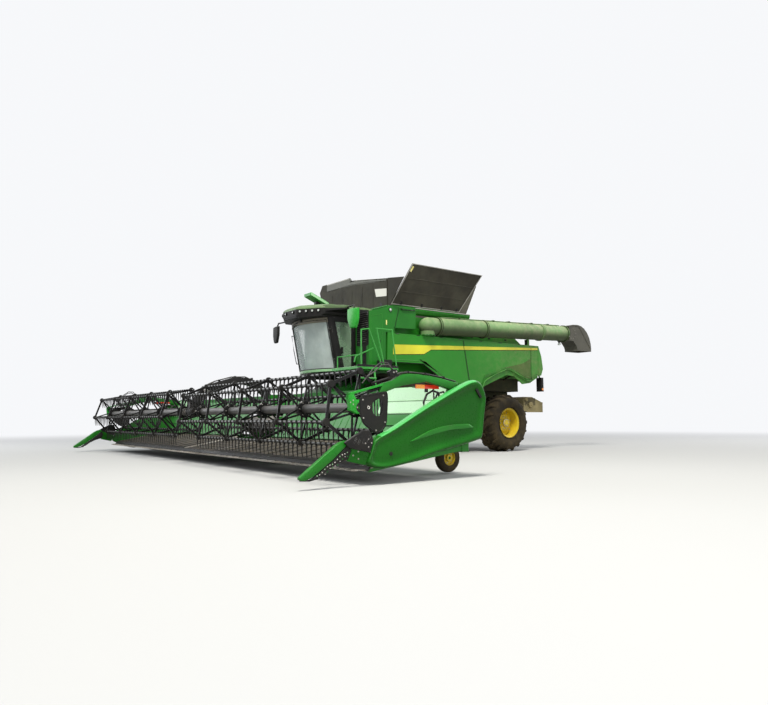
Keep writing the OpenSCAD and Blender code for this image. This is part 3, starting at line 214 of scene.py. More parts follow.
def surface(name, colour, rough=0.4, metal=0.0, coat=0.0, dust=0.25, low=0.35, rear=0.0,
            vary=0.08, bump=0.0, bump_scale=60.0, wear=None, edge=0.006, spec=0.5, sheen=0.0,
            dust_colour=DUST, weave=0.0, under=0.0, painted_shade_colour=(0.020, 0.018, 0.012)):
    """Painted, bare or moulded surface with dust that settles on it."""
    N, b = new_material(name)
    co = N.add("ShaderNodeTexCoord").outputs["Object"]
    normal = N.add("ShaderNodeNewGeometry").outputs["Normal"]
    mid = N.noise(co, 5.0, 6.0, 0.65)
    fine = N.noise(co, 38.0, 4.0, 0.6)
    spread = 2.2 * vary
    dark = [c * (1 - spread) for c in colour]
    lite = [min(1, c * (1 + spread) + 0.01 * vary) for c in colour]
    col = N.mix(N.ramp(N.noise(co, 0.9, 4.0), 0.3, 0.7), rgba(dark), rgba(lite))
    place = N.add("ShaderNodeSeparateXYZ", Vector=co).outputs
    facing = N.add("ShaderNodeSeparateXYZ", Vector=normal).outputs["Z"]
    # More dust on what faces up, low down and at the rear; this pale film on top faces and toward the rear
    # is partly a painted highlight
    amount = N.math("ADD", N.math("MULTIPLY", N.ramp(facing, 0.2, 1.0), 0.45 * dust), dust * 0.35)
    lowness = N.ramp(place["Z"], 0.1, 1.9, 1.0, 0.0)
    amount = N.math("ADD", amount, N.math("MULTIPLY", lowness, low * dust * 1.6))
    back = N.ramp(place["Y"], FY + 1.6, FY + 5.6)
    amount = N.math("ADD", amount, N.math("MULTIPLY", back, rear))
    film = N.math("MULTIPLY", amount, N.ramp(mid, 0.34, 0.72, 0.35, 1.3), True)
    film = N.math("MULTIPLY", film, N.ramp(fine, 0.25, 0.75, 0.7, 1.2), True)
    col = N.mix(film, col, rgba(dust_colour))
    # Painted shade: what faces down is darkened toward the shade colour by the amount under
    if under:
        col = N.mix(N.ramp(facing, -0.75, 0.45, under, 0.0), col, rgba(painted_shade_colour))
    if wear is not None:
        sharp = N.math("DOT_PRODUCT", N.bevel(0.012, 2), normal, kind="ShaderNodeVectorMath")
        worn = N.math("MULTIPLY", N.ramp(sharp, 0.985, 0.9, 0.0, 1.0), N.ramp(mid, 0.5, 0.62), True)
        col = N.mix(worn, col, rgba(wear))
    r = N.ramp(fine, 0.2, 0.8, max(0.05, rough - 0.07), min(1, rough + 0.09))
    r = N.math("ADD", r, N.math("MULTIPLY", film, 0.5), True)
    N.fill(b, Base_Color=col, Roughness=r, Metallic=metal, Specular_IOR_Level=spec,
           Coat_Weight=coat, Coat_Roughness=0.18, Sheen_Weight=sheen, Sheen_Roughness=0.5)
    shape = N.bevel(edge, 3) if edge else None
    if bump:
        shape = N.bump(N.noise(co, bump_scale, 5.0, 0.6), 1.0, bump, shape)
    if weave:
        threads = []
        for direction in ("X", "Z"):
            wave = N.add("ShaderNodeTexWave", Vector=co, Scale=weave)
            wave.wave_type, wave.bands_direction = "BANDS", direction
            threads.append(wave.outputs["Fac"])
        shape = N.bump(N.math("MAXIMUM", *threads), 0.5, 0.002, shape)
    if shape is not None:
        N.put(b.inputs["Normal"], shape)


def glass(name, tint, alpha, rough=0.03):
    """Thin tinted pane with a film of dust."""
    N, b = new_material(name)
    co = N.add("ShaderNodeTexCoord").outputs["Object"]
    film = N.ramp(N.noise(co, 2.5, 5.0), 0.35, 0.8, 0.0, 0.10)
    N.fill(b, Base_Color=N.mix(film, rgba(tint), rgba((0.55, 0.5, 0.42))), Roughness=rough,
           Specular_IOR_Level=0.8, Alpha=N.math("ADD", film, alpha, True))


def glow(name, colour, strength, rough=0.2):
    """Lamp lens or reflector with a fine prism pattern; it gives off light, which on reflectors and marks
    is a painted glow.
    """
    N, b = new_material(name)
    co = N.add("ShaderNodeTexCoord").outputs["Object"]
    cell = N.add("ShaderNodeTexVoronoi", Vector=co, Scale=70.0).outputs["Distance"]
    N.fill(b, Base_Color=N.mix(cell, rgba(colour), rgba(c * 0.6 for c in colour)), Roughness=rough,
           Coat_Weight=0.6, Emission_Color=rgba(colour), Emission_Strength=strength)


GREEN = (0.008, 0.16, 0.01)
surface("green", GREEN, rough=0.34, coat=0.08, dust=0.03, low=0.5, rear=0.0, vary=0.05, spec=0.22,
    wear=(0.06, 0.1, 0.05), under=0.35)
surface("green_body", (0.018, 0.215, 0.014), rough=0.36, coat=0.08, dust=0.05, low=0.6, rear=0.24,
    vary=0.05, spec=0.22, under=0.3)
# Auger green: its pale top is partly dust and partly a painted highlight, and its dark underside is painted
# shade
surface("green_dusty", (0.1, 0.24, 0.07), rough=0.55, dust=0.5, low=0.4, rear=0.2, vary=0.1, spec=0.3,
    dust_colour=(0.5, 0.47, 0.31), under=0.8, painted_shade_colour=(0.03, 0.03, 0.018))
# A lighter copy of the green for parts that look lit: painted light
surface("green_bright", (0.01, 0.3, 0.018), rough=0.27, coat=0.15, dust=0.03, vary=0.04, spec=0.3)
surface("green_bar", (0.006, 0.165, 0.008), rough=0.3, coat=0.05, dust=0.02, vary=0.05, spec=0.2, under=0.5)
# Bright rim green, a painted highlight along the shield's upper edge; what faces down on it is painted
# shade
surface("green_rim", (0.06, 0.42, 0.09), rough=0.22, coat=0.4, dust=0.02, vary=0.03, spec=0.4,
    under=0.85, painted_shade_colour=(0.004, 0.07, 0.006))
# Lighter green of the pressed line and the arch lip: partly dust, partly a painted highlight
surface("green_lip", (0.075, 0.3, 0.06), rough=0.4, dust=0.12, rear=0.1, vary=0.06, spec=0.3, edge=0)
surface("green_shade", (0.035, 0.095, 0.012), rough=0.5, dust=0.2, rear=0.1, vary=0.08, spec=0.25, edge=0)
surface("green_roof", (0.11, 0.185, 0.08), rough=0.4, coat=0.1, dust=0.1, vary=0.06, spec=0.3, under=0.6)
surface("green_pale", (0.34, 0.6, 0.32), rough=0.3, coat=0.3, dust=0.03, vary=0.03)
surface("rail_green", (0.03, 0.26, 0.035), rough=0.35, coat=0.1, dust=0.05, spec=0.3, edge=0)
surface("frame_dusty", (0.022, 0.06, 0.016), rough=0.6, dust=0.4, low=0.3, rear=0.05, vary=0.15,
    spec=0.2, dust_colour=(0.17, 0.125, 0.065), under=0.6)
# Dark brown housing, partly mud and dust and partly painted shade for the shadowed space above the rear
# wheels
surface("housing_dust_and_painted_shade", (0.02, 0.03, 0.012), rough=0.7, dust=0.55, low=0.3, rear=0.1, vary=0.18,
    spec=0.2, dust_colour=(0.13, 0.095, 0.05), under=0.6)
surface("yellow", (0.58, 0.42, 0.008), rough=0.38, coat=0.1, dust=0.2, low=0.6, vary=0.06, spec=0.3,
    wear=(0.2, 0.14, 0.08), dust_colour=(0.28, 0.2, 0.09))
surface("stripe_yellow", (0.6, 0.57, 0.035), rough=0.36, coat=0.1, dust=0.03, rear=0.25, spec=0.3, edge=0)
surface("black_gloss", (0.006, 0.006, 0.006), rough=0.28, coat=0.05, dust=0.01, spec=0.22, edge=0)
surface("black_paint", (0.007, 0.007, 0.007), rough=0.4, dust=0.02, vary=0.1, spec=0.22,
    wear=(0.2, 0.2, 0.19))
surface("black_moulded", (0.008, 0.008, 0.008), rough=0.55, dust=0.03, vary=0.08, spec=0.22,
    bump=0.0006, bump_scale=260)
surface("dark_cast", (0.05, 0.052, 0.055), rough=0.6, metal=0.3, dust=0.5, bump=0.001, bump_scale=90)
surface("flap", (0.042, 0.04, 0.029), rough=0.62, dust=0.1, vary=0.22, spec=0.25, bump=0.0008,
    bump_scale=40)
# A darker copy of the flap material: painted shade on the front sheet, its ribs and the corner sheets
surface("flap_dark", (0.026, 0.025, 0.017), rough=0.62, dust=0.08, vary=0.22, spec=0.2, bump=0.0008,
    bump_scale=40)
surface("spout_rubber", (0.06, 0.058, 0.045), rough=0.7, dust=0.35, vary=0.14, bump=0.001, under=0.5,
    dust_colour=(0.24, 0.22, 0.16))
surface("tyre", (0.01, 0.009, 0.007), rough=0.82, dust=0.22, low=0.45, vary=0.14, spec=0.15,
    bump=0.0015, bump_scale=55, edge=0, dust_colour=(0.2, 0.145, 0.065))
surface("belt", (0.02, 0.02, 0.02), rough=0.7, dust=0.16, vary=0.1, bump=0.0008, weave=24.0)
surface("steel", (0.5, 0.5, 0.49), rough=0.36, metal=1.0, dust=0.2, vary=0.12)
surface("chrome_rod", (0.72, 0.72, 0.73), rough=0.12, metal=1.0, dust=0.03, edge=0)
surface("worn_steel", (0.34, 0.33, 0.31), rough=0.46, metal=0.9, dust=0.28, vary=0.18, bump=0.0005,
    bump_scale=120)
surface("shaft_grey", (0.1, 0.1, 0.1), rough=0.4, metal=0.5, dust=0.1, vary=0.12, under=0.5)
surface("tan_dusty", (0.26, 0.22, 0.11), rough=0.75, dust=0.6, low=0.2, vary=0.18, spec=0.2,
    dust_colour=(0.4, 0.32, 0.17), under=0.3)
surface("screen", (0.03, 0.03, 0.03), rough=0.6, dust=0.6, vary=0.1)
surface("fabric", (0.035, 0.036, 0.04), rough=0.85, dust=0.05, vary=0.1, sheen=0.4, weave=190.0, edge=0)
surface("liner_grey", (0.17, 0.175, 0.165), rough=0.75, dust=0.1, vary=0.08, bump=0.0006,
    bump_scale=180)
surface("liner_pale", (0.46, 0.5, 0.47), rough=0.7, dust=0.04, vary=0.05, edge=0)
surface("white_plate", (0.72, 0.7, 0.64), rough=0.5, dust=0.1, vary=0.04)
surface("flap_light", (0.07, 0.072, 0.055), rough=0.5, dust=0.12, vary=0.12, edge=0)
surface("cab_trim", (0.16, 0.145, 0.105), rough=0.55, dust=0.05, vary=0.1, edge=0)
surface("light_edge", (0.4, 0.39, 0.36), rough=0.5, metal=0.4, dust=0.3, vary=0.1)
surface("hose", (0.016, 0.016, 0.016), rough=0.5, dust=0.1, edge=0)
# A darker copy of the green, painted shade: used on the end shields, the divider's joining plates and the
# feeder's drive guard
surface("green_shield", (0.007, 0.112, 0.005), rough=0.3, coat=0.0, dust=0.0, vary=0.07, spec=0.16,
    under=0.3)
# Painted shade: the bats' undersides are darkened so that their tops read light
surface("bat_grey", (0.085, 0.087, 0.085), rough=0.3, metal=0.5, coat=0.1, dust=0.02, spec=0.3, edge=0,
    under=0.92, painted_shade_colour=(0.008, 0.008, 0.007))
# The windscreen's bright tint at part alpha paints the sky's reflection
glass("screen_glass_painted_sky", (0.86, 0.98, 0.94), 0.3)
glass("door_tint", (0.25, 0.39, 0.25), 0.52)
# The mirror glass is a pale, nearly opaque pane: a painted reflection
glass("mirror_face", (0.75, 0.8, 0.82), 0.95, 0.02)
glow("lamp", (0.62, 0.66, 0.62), 0.1)
glow("red", (0.7, 0.03, 0.012), 0.15)
glow("amber", (0.9, 0.28, 0.02), 0.2)
# Pale yellow for marks and reflector strips, which glow: painted light
glow("pale_yellow", (0.85, 0.75, 0.25), 0.25)
glow("display", (0.1, 0.22, 0.3), 0.3)


# Mesh building
def section(half, low, high=None, top=None):
    """A beam's (side, up) outline: half its width, its depth and height, half its top's width."""
    high = low if high is None else high
    top = half if top is None else top
    return [(-half, -low), (half, -low), (top, high), (-top, high)]


def at_x(x, *points):
    return [(x, y, z) for y, z in points]


def collar(inner, outer, length):
    """Profile of a ring, to be turned closed."""
    return [(inner, 0), (outer, 0), (outer, length), (inner, length)]


def cap(radius, height, crown):
    """Profile of a round cap that is open below."""
    return [(radius, 0), (radius, height), (0, crown)]


def stud(radius, height, crown):
    """Profile of a round stud with a flat foot."""
    return [(0, 0)] + cap(radius, height, crown)


def across(axis):
    """The axis as a unit vector, and two more square to it."""
    axis = Vector(axis).normalized()
    u = axis.cross(Vector(Z))
    if u.length < 0.1:
        u = Vector(X)
    u.normalize()
    return axis, u, axis.cross(u)


class Build:
    """Collects solids of several materials into one mesh. Y is from the front axle."""

    def __init__(self, name, both=False):
        self.name, self.v, self.f, self.mats, self.both = name, [], [], [], both

    def add(self, verts, faces, mat):
        if mat not in self.mats:
            self.mats.append(mat)
        k = self.mats.index(mat)
        for s in (1, -1) if self.both else (1,):
            n = len(self.v)
            self.v += [(s * x, y, z) for x, y, z in verts]
            self.f += [([n + i for i in f[::s]], k) for f in faces]

    def prism(self, pts, axis, a0, a1, mat):
        """A flat outline drawn out along the named axis from a0 to a1."""
        def put(p, a):
            return {"x": (a, *p), "y": (p[0], a, p[1]), "z": (*p, a)}[axis]
        area = sum(p[0] * q[1] - q[0] * p[1] for p, q in zip(pts, pts[1:] + pts[:1]))
        if (area > 0) == (axis == "y"):
            pts = pts[::-1]
        n = len(pts)
        v = [put(p, a) for a in (a0, a1) for p in pts]
        f = [list(range(n))[::-1], list(range(n, 2 * n))]
        f += [[i, (i + 1) % n, n + (i + 1) % n, n + i] for i in range(n)]
        self.add(v, f, mat)

    def box(self, x0, x1, y0, y1, z0, z1, mat):
        self.prism([(y0, z0), (y1, z0), (y1, z1), (y0, z1)], "x", x0, x1, mat)

    def loft(self, rings, mat, closed=True, caps=True):
        """Rings of points, joined one to the next."""
        n = len(rings[0])
        last = (len(rings) - 1) * n
        f = []
        for j in range(0, last, n):
            for i in range(n if closed else n - 1):
                k = (i + 1) % n
                f.append([j + i, j + k, j + n + k, j + n + i])
        if caps:
            f += [list(range(n))[::-1], list(range(last, last + n))]
        self.add([tuple(p) for ring in rings for p in ring], f, mat)

    def sweep(self, path, outline, mat, closed=False, up=Z):
        """An outline of (side, up) points along a path with mitred corners."""
        path = [Vector(p) for p in path]
        rings = []
        n = len(path)
        for i, p in enumerate(path):
            if closed:
                a, b = (p - path[i - 1]).normalized(), (path[(i + 1) % n] - p).normalized()
            else:
                a = (p - path[i - 1]).normalized() if i else (path[1] - p).normalized()
                b = (path[i + 1] - p).normalized() if i < n - 1 else a
            t = (a + b).normalized()
            k = 1 / max(0.5, math.sqrt(max(0.05, (1 + a.dot(b)) / 2)))
            side = t.cross(Vector(up))
            if side.length < 1e-3:
                side = t.cross(Vector((1, 0.2, 0)))
            side.normalize()
            top = side.cross(t).normalized()
            bend = b - a
            ring = []
            for s, u in outline:
                off = side * s + top * u
                if bend.length > 1e-4:
                    d = bend.normalized()
                    off += d * off.dot(d) * (k - 1)
                ring.append(p + off)
            rings.append(ring)
        if closed:
            rings.append(rings[0])
        self.loft(rings, mat, True, not closed)

    def tube(self, path, r, mat, n=8, closed=False, up=Z):
        turns = [2 * math.pi * i / n for i in range(n)]
        self.sweep(path, [(r * math.cos(a), r * math.sin(a)) for a in turns], mat, closed, up)

    def beam(self, p, q, w, h, mat, up=Z):
        self.sweep([p, q], section(w / 2, h / 2), mat, up=up)

    def lathe(self, origin, axis, profile, mat, n=32, closed=False):
        """Profile of (radius, along) round an axis through origin."""
        axis, u, w = across(axis)
        o = Vector(origin)
        m = len(profile)
        v, f = [], []
        for i in range(n):
            a = 2 * math.pi * i / n
            d = u * math.cos(a) + w * math.sin(a)
            v += [tuple(o + d * r + axis * h) for r, h in profile]
            j = (i + 1) % n
            for k in range(m - 1 + closed):
                l = (k + 1) % m
                if max(profile[k][0], profile[l][0]) >= 1e-6:
                    f.append([i * m + k, i * m + l, j * m + l, j * m + k])
        self.add(v, f, mat)

    def bolts(self, centre, axis, radius, count, r, h, mat="worn_steel"):
        axis, u, w = across(axis)
        for i in range(count):
            a = 2 * math.pi * i / count
            c = Vector(centre) + (u * math.cos(a) + w * math.sin(a)) * radius
            self.lathe(c, axis, [(r, 0), (r, h * 0.7), (r * 0.8, h), (0, h)], mat, 6)

    def done(self, body, replaces=(), bevel=0.0, angle=35):
        me = bpy.data.meshes.new(self.name)
        me.from_pydata([(x, y + FY, z) for x, y, z in self.v], [], [f for f, _ in self.f])
        for face, (_, k) in zip(me.polygons, self.f):
            face.material_index = k
        for k in self.mats:
            me.materials.append(MATS[k])
        me.validate()
        bm = bmesh.new()
        bm.from_mesh(me)
        bmesh.ops.remove_doubles(bm, verts=bm.verts, dist=1e-5)
        bmesh.ops.recalc_face_normals(bm, faces=bm.faces)
        bm.to_mesh(me)
        bm.free()
        for p in me.polygons:
            p.use_smooth = True
        me.set_sharp_from_angle(angle=math.radians(angle))
        ob = link(bpy.data.objects.new(self.name, me))
        if bevel:
            mod = ob.modifiers.new("bevel", "BEVEL")
            mod.width, mod.segments, mod.limit_method = bevel, 2, "ANGLE"
            mod.angle_limit = math.radians(40)
            mod.harden_normals = True
        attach(ob, body)
        if replaces:
            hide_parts(*replaces)
        return ob


def round_line(pts, times=2):
    """Cut the corners of a closed line so that it runs smoothly."""
    for _ in range(times):
        out = []
        for (px, py), (qx, qy) in zip(pts, pts[1:] + pts[:1]):
            out += [(px * a + qx * b, py * a + qy * b) for a, b in ((0.78, 0.22), (0.22, 0.78))]
        pts = out
    return pts


def shrunk(pts, d):
    """The outline moved in by d along its own normals."""
    after = pts[1:] + pts[:1]
    area = sum(p[0] * q[1] - q[0] * p[1] for p, q in zip(pts, after))
    d = d if area > 0 else -d
    out = []
    for a, p, c in zip(pts[-1:] + pts[:-1], pts, after):
        t = Vector((c[0] - a[0], c[1] - a[1])).normalized()
        out.append((p[0] - t.y * d, p[1] + t.x * d))
    return out


# Materials of the CAD nodes
DRESS = {
    "green": "front_towers cab_roof feeder_house header_frame reel_arms",
    "green_shield": "end_shield_left end_shield_right",
    "frame_dusty": "chassis_frame rear_axle",
    "housing_dust_and_painted_shade": "threshing_housing",
    "green_body": "engine_deck panel_front_left panel_rear_left "
                  "panel_front_right panel_rear_right rear_hood grain_tank",
    "green_dusty": "auger_elbow auger_tube",
    "rail_green": "platform_ladder",
    "yellow": "front_rim_left front_rim_right rear_rim_left rear_rim_right",
    "tyre": "front_tyre_left front_tyre_right rear_tyre_left rear_tyre_right "
            "gauge_wheel_left gauge_wheel_right",
    "dark_cast": "knuckle_left knuckle_right engine_block",
    "screen": "cooling_screen",
    "tan_dusty": "straw_chopper spreader_disc_left spreader_disc_right",
    "flap": "flap_left flap_right flap_rear",
    "flap_dark": "flap_front tank_corner_sheets",
    "black_paint": "cab_frame cab_door cutter_bar lift_barrels reel_left reel_right reel_centre_arm",
    "screen_glass_painted_sky": "cab_windows",
    "door_tint": "door_glass",
    "fabric": "operator_seat",
    "black_moulded": "steering_console cab_mirrors divider_plates",
    "spout_rubber": "auger_spout",
    "chrome_rod": "lift_rods",
    "belt": "header_decks",
    "worn_steel": "feed_drum",
}


def dress_nodes():
    for mat, names in DRESS.items():
        for name in names.split():
            slots = NODES[name].data.materials
            slots.clear()
            slots.append(MATS[mat])
    left = set(NODES) - set(" ".join(DRESS.values()).split())
    assert not left, left


dress_nodes()


# Wheels: hub's place, tyre's diameter and width, rim's diameter, reach of the disc from the middle
WHEELS = {"front": (1.5, 0, 1.05, 2.1, 0.8, 1.06, 0.072),
    "rear": (1.29, 3.96, 0.82, 1.64, 0.7, 0.8, 0.102)}
LUGS, LUG_HEIGHT, LUG_HALF = 18, 0.05, 0.031


def lugged_tyre(axle, s, side):
    """Farm tyre with two rows of slanted lugs that meet in a chevron."""
    cx, cy, cz, d, w, rim_d, _ = WHEELS[axle]
    cx *= s
    t = Build(f"{axle}_tyre_lugged_{side}")
    r0, rim = d / 2 - LUG_HEIGHT, rim_d / 2
    wall = r0 - rim
    half = [(rim, -0.37 * w), (rim + 0.02, -0.4 * w), (rim + 0.05, -0.455 * w),
        (rim + 0.4 * wall, -0.497 * w), (rim + 0.62 * wall, -0.5 * w), (rim + 0.82 * wall, -0.475 * w),
        (r0 - 0.035, -0.425 * w), (r0 - 0.008, -0.34 * w), (r0, -0.2 * w), (r0, 0)]
    t.lathe((cx, cy, cz), X, half + [(r, -h) for r, h in half[-2::-1]], "tyre", 72)
    # Raised rings on the side walls
    for r in (rim + 0.035, rim + 0.06):
        for e in (-1, 1):
            h = e * 0.462 * w
            t.lathe((cx, cy, cz), X, [(r - 0.006, h - 0.008), (r, h + e * 0.012),
                (r + 0.006, h - 0.008)], "tyre", 72)
    # Each lug's cross-sections: place along X, lag round the tyre, drop of its top, relative width
    # and depth of its foot
    bend, end = 0.23 * w, w / 2 - 0.11
    lines = [(-0.02, 0.0, 0.0, 1.0, 0.02), (0.0, 0.0, 0.0, 1.12, 0.02),
        (0.115 * w, 0.1 * w, 0.0, 1.0, 0.02), (bend, 0.2 * w, 0.0, 0.98, 0.02), ((bend + end) / 2,
        0.24 * w, 0.0, 0.98, 0.02)]
    lines += [(h, 0.2 * w + 0.4375 * (h - bend), drop, wide, sink) for h, drop, wide,
        sink in ((end, 0.001, 1.0, 0.02), (end + 0.035, 0.026, 1.04, 0.05),
        (end + 0.078, 0.066, 1.1, 0.085), (w / 2 - 0.018, 0.1, 1.12, 0.125))]
    for row in (-1, 1):
        for k in range(LUGS):
            a0 = (k + row / 4) * (2 * math.pi / LUGS) - math.pi / 2
            rings = []
            for h, back, drop, wide, sink in lines:
                foot, top, ww = r0 - sink, d / 2 - drop, LUG_HALF * wide
                ring = []
                for r, e in ((foot, ww * 1.35), (top - 0.006, ww * 1.03), (top, ww * 0.84),
                        (top, -ww * 0.84), (top - 0.006, -ww * 1.03), (foot, -ww * 1.35)):
                    a = a0 + (e - back) / (d / 2)
                    ring.append((cx + row * h, cy + r * math.cos(a), cz + r * math.sin(a)))
                rings.append(ring)
            t.loft(rings, "tyre")
    t.done(f"{axle}_wheel_{side}", (f"{axle}_tyre_{side}",))


def wheel_trim(axle, s, side):
    """Rim beads, nuts, hub cap with its pale ring, and the clamps of the rim."""
    cx, cy, cz, _, w, rim_d, disc = WHEELS[axle]
    cx *= s
    b = Build(f"{axle}_wheel_trim_{side}")
    r = rim_d / 2
    for e in (-1, 1):
        h = e * (0.38 * w + 0.021)
        b.lathe((cx, cy, cz), X, [(r + 0.029, h - 0.006), (r + 0.034, h), (r + 0.029, h + 0.006),
            (r + 0.012, h + 0.004), (r + 0.012, h - 0.004)], "yellow", 72, closed=True)
    out, face = (s, 0, 0), cx + s * disc
    b.bolts((face, cy, cz), out, 0.21 * rim_d, 10, 0.017, 0.03)
    for profile, mat, n in (([(0.24, 0), (0.24, 0.006), (0.17, 0.006), (0.17, 0)], "yellow", 48),
            ([(0.13, 0), (0.13, 0.075), (0.11, 0.1), (0.05, 0.105), (0, 0.105)], "yellow", 32),
            ([(0.125, 0.07), (0.14, 0.072), (0.14, 0.082), (0.122, 0.088)], "light_edge", 32)):
        b.lathe((face, cy, cz), out, [(k * rim_d, h) for k, h in profile], mat, n)
    b.bolts((face + s * 0.098, cy, cz), out, 0.085 * rim_d, 8, 0.011, 0.014)
    for i in range(8):
        a = 2 * math.pi * i / 8 + 0.2
        place = (cx + s * (disc - 0.085), cy + 0.43 * rim_d * math.cos(a),
            cz + 0.43 * rim_d * math.sin(a))
        b.lathe(place, out, cap(0.02, 0.014, 0.016), "worn_steel", 6)
    b.done(f"{axle}_wheel_{side}", bevel=0.002)


for s, side in SIDES:
    for axle in WHEELS:
        lugged_tyre(axle, s, side)
    for axle in WHEELS:
        wheel_trim(axle, s, side)


# Reel
REEL_Y, REEL_Z, REEL_R = -4.87, 1.14, 0.56
REEL_START, REEL_END = 0.44, 6.615
TINES = 40


def reel(side, word, phase):
    """One half of the reel: shaft, five bolted spiders and six bats with tines."""
    bats = [math.radians(phase + 60 * i) for i in range(6)]

    def spot(x, r=0.0, a=0.0):
        return (side * x, REEL_Y - r * math.sin(a), REEL_Z + r * math.cos(a))
    at = [spot(0, REEL_R, a)[1:] for a in bats]
    out = (side, 0, 0)
    b = Build("reel_structure_" + word)
    lo, hi = REEL_START, REEL_END
    b.lathe(spot(lo), out, [(0, 0), (0.075, 0), (0.075, hi - lo), (0, hi - lo)], "shaft_grey", 28)
    b.lathe(spot(0.195), out, [(0.0, 0), (0.04, 0), (0.04, lo - 0.195)], "worn_steel", 20)
    b.lathe(spot(hi), out, [(0.04, 0), (0.04, 0.12), (0, 0.12)], "worn_steel", 20)
    for x in (lo + 0.02, 1.9, 3.4, 4.9):
        b.lathe(spot(x), out, [(0.076, -0.03), (0.088, -0.028), (0.088, 0.028), (0.076, 0.03)],
            "shaft_grey", 28)
    hub = [(0.076, -0.02), (0.135, -0.02), (0.15, -0.006), (0.15, 0.006), (0.135, 0.02), (0.076, 0.02)]
    for k in range(5):
        x = REEL_END - 0.012 - k * 1.5
        b.lathe(spot(x), out, hub, "black_gloss", 32, closed=True)
        b.bolts((side * x + side * 0.02, REEL_Y, REEL_Z), out, 0.115, 6, 0.01, 0.01)
        for i, (a, (y, z)) in enumerate(zip(bats, at)):
            across_path = (0, z, -y)
            b.sweep([(side * x, y, z), (side * x, *at[(i + 1) % 6])], section(0.008, 0.024),
                "black_gloss", up=across_path)
            for d in (-0.38, 0.38):
                b.sweep([spot(x, 0.13, a + d), spot(x, 0.515, a)], section(0.007, 0.016), "black_gloss",
                    up=across_path)
            b.lathe((side * x - 0.026, y, z), X, [(0.0, 0), (0.052, 0), (0.058, 0.01), (0.058, 0.042),
                (0.052, 0.052), (0, 0.052)], "black_moulded", 16)
    b.done("reel_" + word, ("reel_" + word,))

    t = Build("reel_bats_" + word)
    tine = [(0.0, -0.02), (-0.006, -0.085), (-0.004, -0.16), (0.01, -0.243)]
    thickness = [(0.016, 0.01), (0.012, 0.008), (0.009, 0.007), (0.005, 0.004)]
    bat = [(0.02 * math.cos(k * math.pi / 5), 0.023 * math.sin(k * math.pi / 5)) for k in range(10)]
    for y, z in at:
        t.sweep([(side * (lo + 0.01), y, z), (side * (hi - 0.004), y, z)], bat, "bat_grey")
        for i in range(TINES):
            x = side * (0.47 + (i + 0.5) * (hi - lo - 0.04) / TINES)
            wob = rng.uniform(-0.006, 0.006)
            t.sweep([(x, y, z - 0.028), (x, y, z + 0.026)], section(0.014, 0.03), "black_moulded", up=Y)
            line = tine[:3] + [(tine[3][0] + wob, tine[3][1])]
            t.loft([[(x + side * px, y + dy + py, z + dz) for px, py in ((-wx, -wy), (wx, -wy),
                (wx, wy), (-wx, wy))] for (dy, dz), (wx, wy) in zip(line, thickness)], "black_moulded")
    t.done("reel_" + word)


reel(1, "left", -8)
reel(-1, "right", -19)


# Header
HEAD_IN = 6.76
KNIFE_Y, KNIFE_Z = -4.82, 0.2
GUARDS, GUARD_PITCH = 43, 0.1524


def deck_z(y):
    return 0.56 + 0.173 * (y + 2.85)


def cutter_bar():
    b = Build("knife_and_guards")
    y, z = KNIFE_Y, KNIFE_Z
    b.prism([(y, z), (y + 0.09, z + 0.004), (y + 0.09, z + 0.085), (y + 0.06, z + 0.024),
        (y, z + 0.012)], "x", -HEAD_IN, HEAD_IN, "black_paint")
    b.box(-HEAD_IN, HEAD_IN, y - 0.012, y + 0.03, z + 0.012, z + 0.022, "worn_steel")
    for i in range(-GUARDS, GUARDS + 1):
        x = i * GUARD_PITCH
        b.loft([[(x - w, y + dy, z + lo), (x + w, y + dy, z + lo), (x + w * 0.7, y + dy, z + hi),
            (x - w * 0.7, y + dy, z + hi)] for dy, w, lo, hi in ((0.02, 0.03, 0.0, 0.012),
            (-0.01, 0.02, -0.006, 0.03), (-0.05, 0.014, -0.006, 0.03), (-0.085, 0.009, 0.0, 0.022),
            (-0.11, 0.003, 0.006, 0.012))], "worn_steel")
        # Knife sections between two guards
        for h in (0.25, 0.75):
            c = x + h * GUARD_PITCH
            if c < HEAD_IN - 0.05:
                b.prism([(c - 0.036, y + 0.01), (c + 0.036, y + 0.01), (c + 0.009, y - 0.068),
                    (c - 0.009, y - 0.068)], "z", z + 0.0125, z + 0.015, "steel")
        if i % 2 == 0:
            b.box(x - 0.022, x + 0.022, y - 0.02, y + 0.055, z + 0.024, z + 0.032, "black_paint")
    b.done("feeder_and_header", ("cutter_bar",))


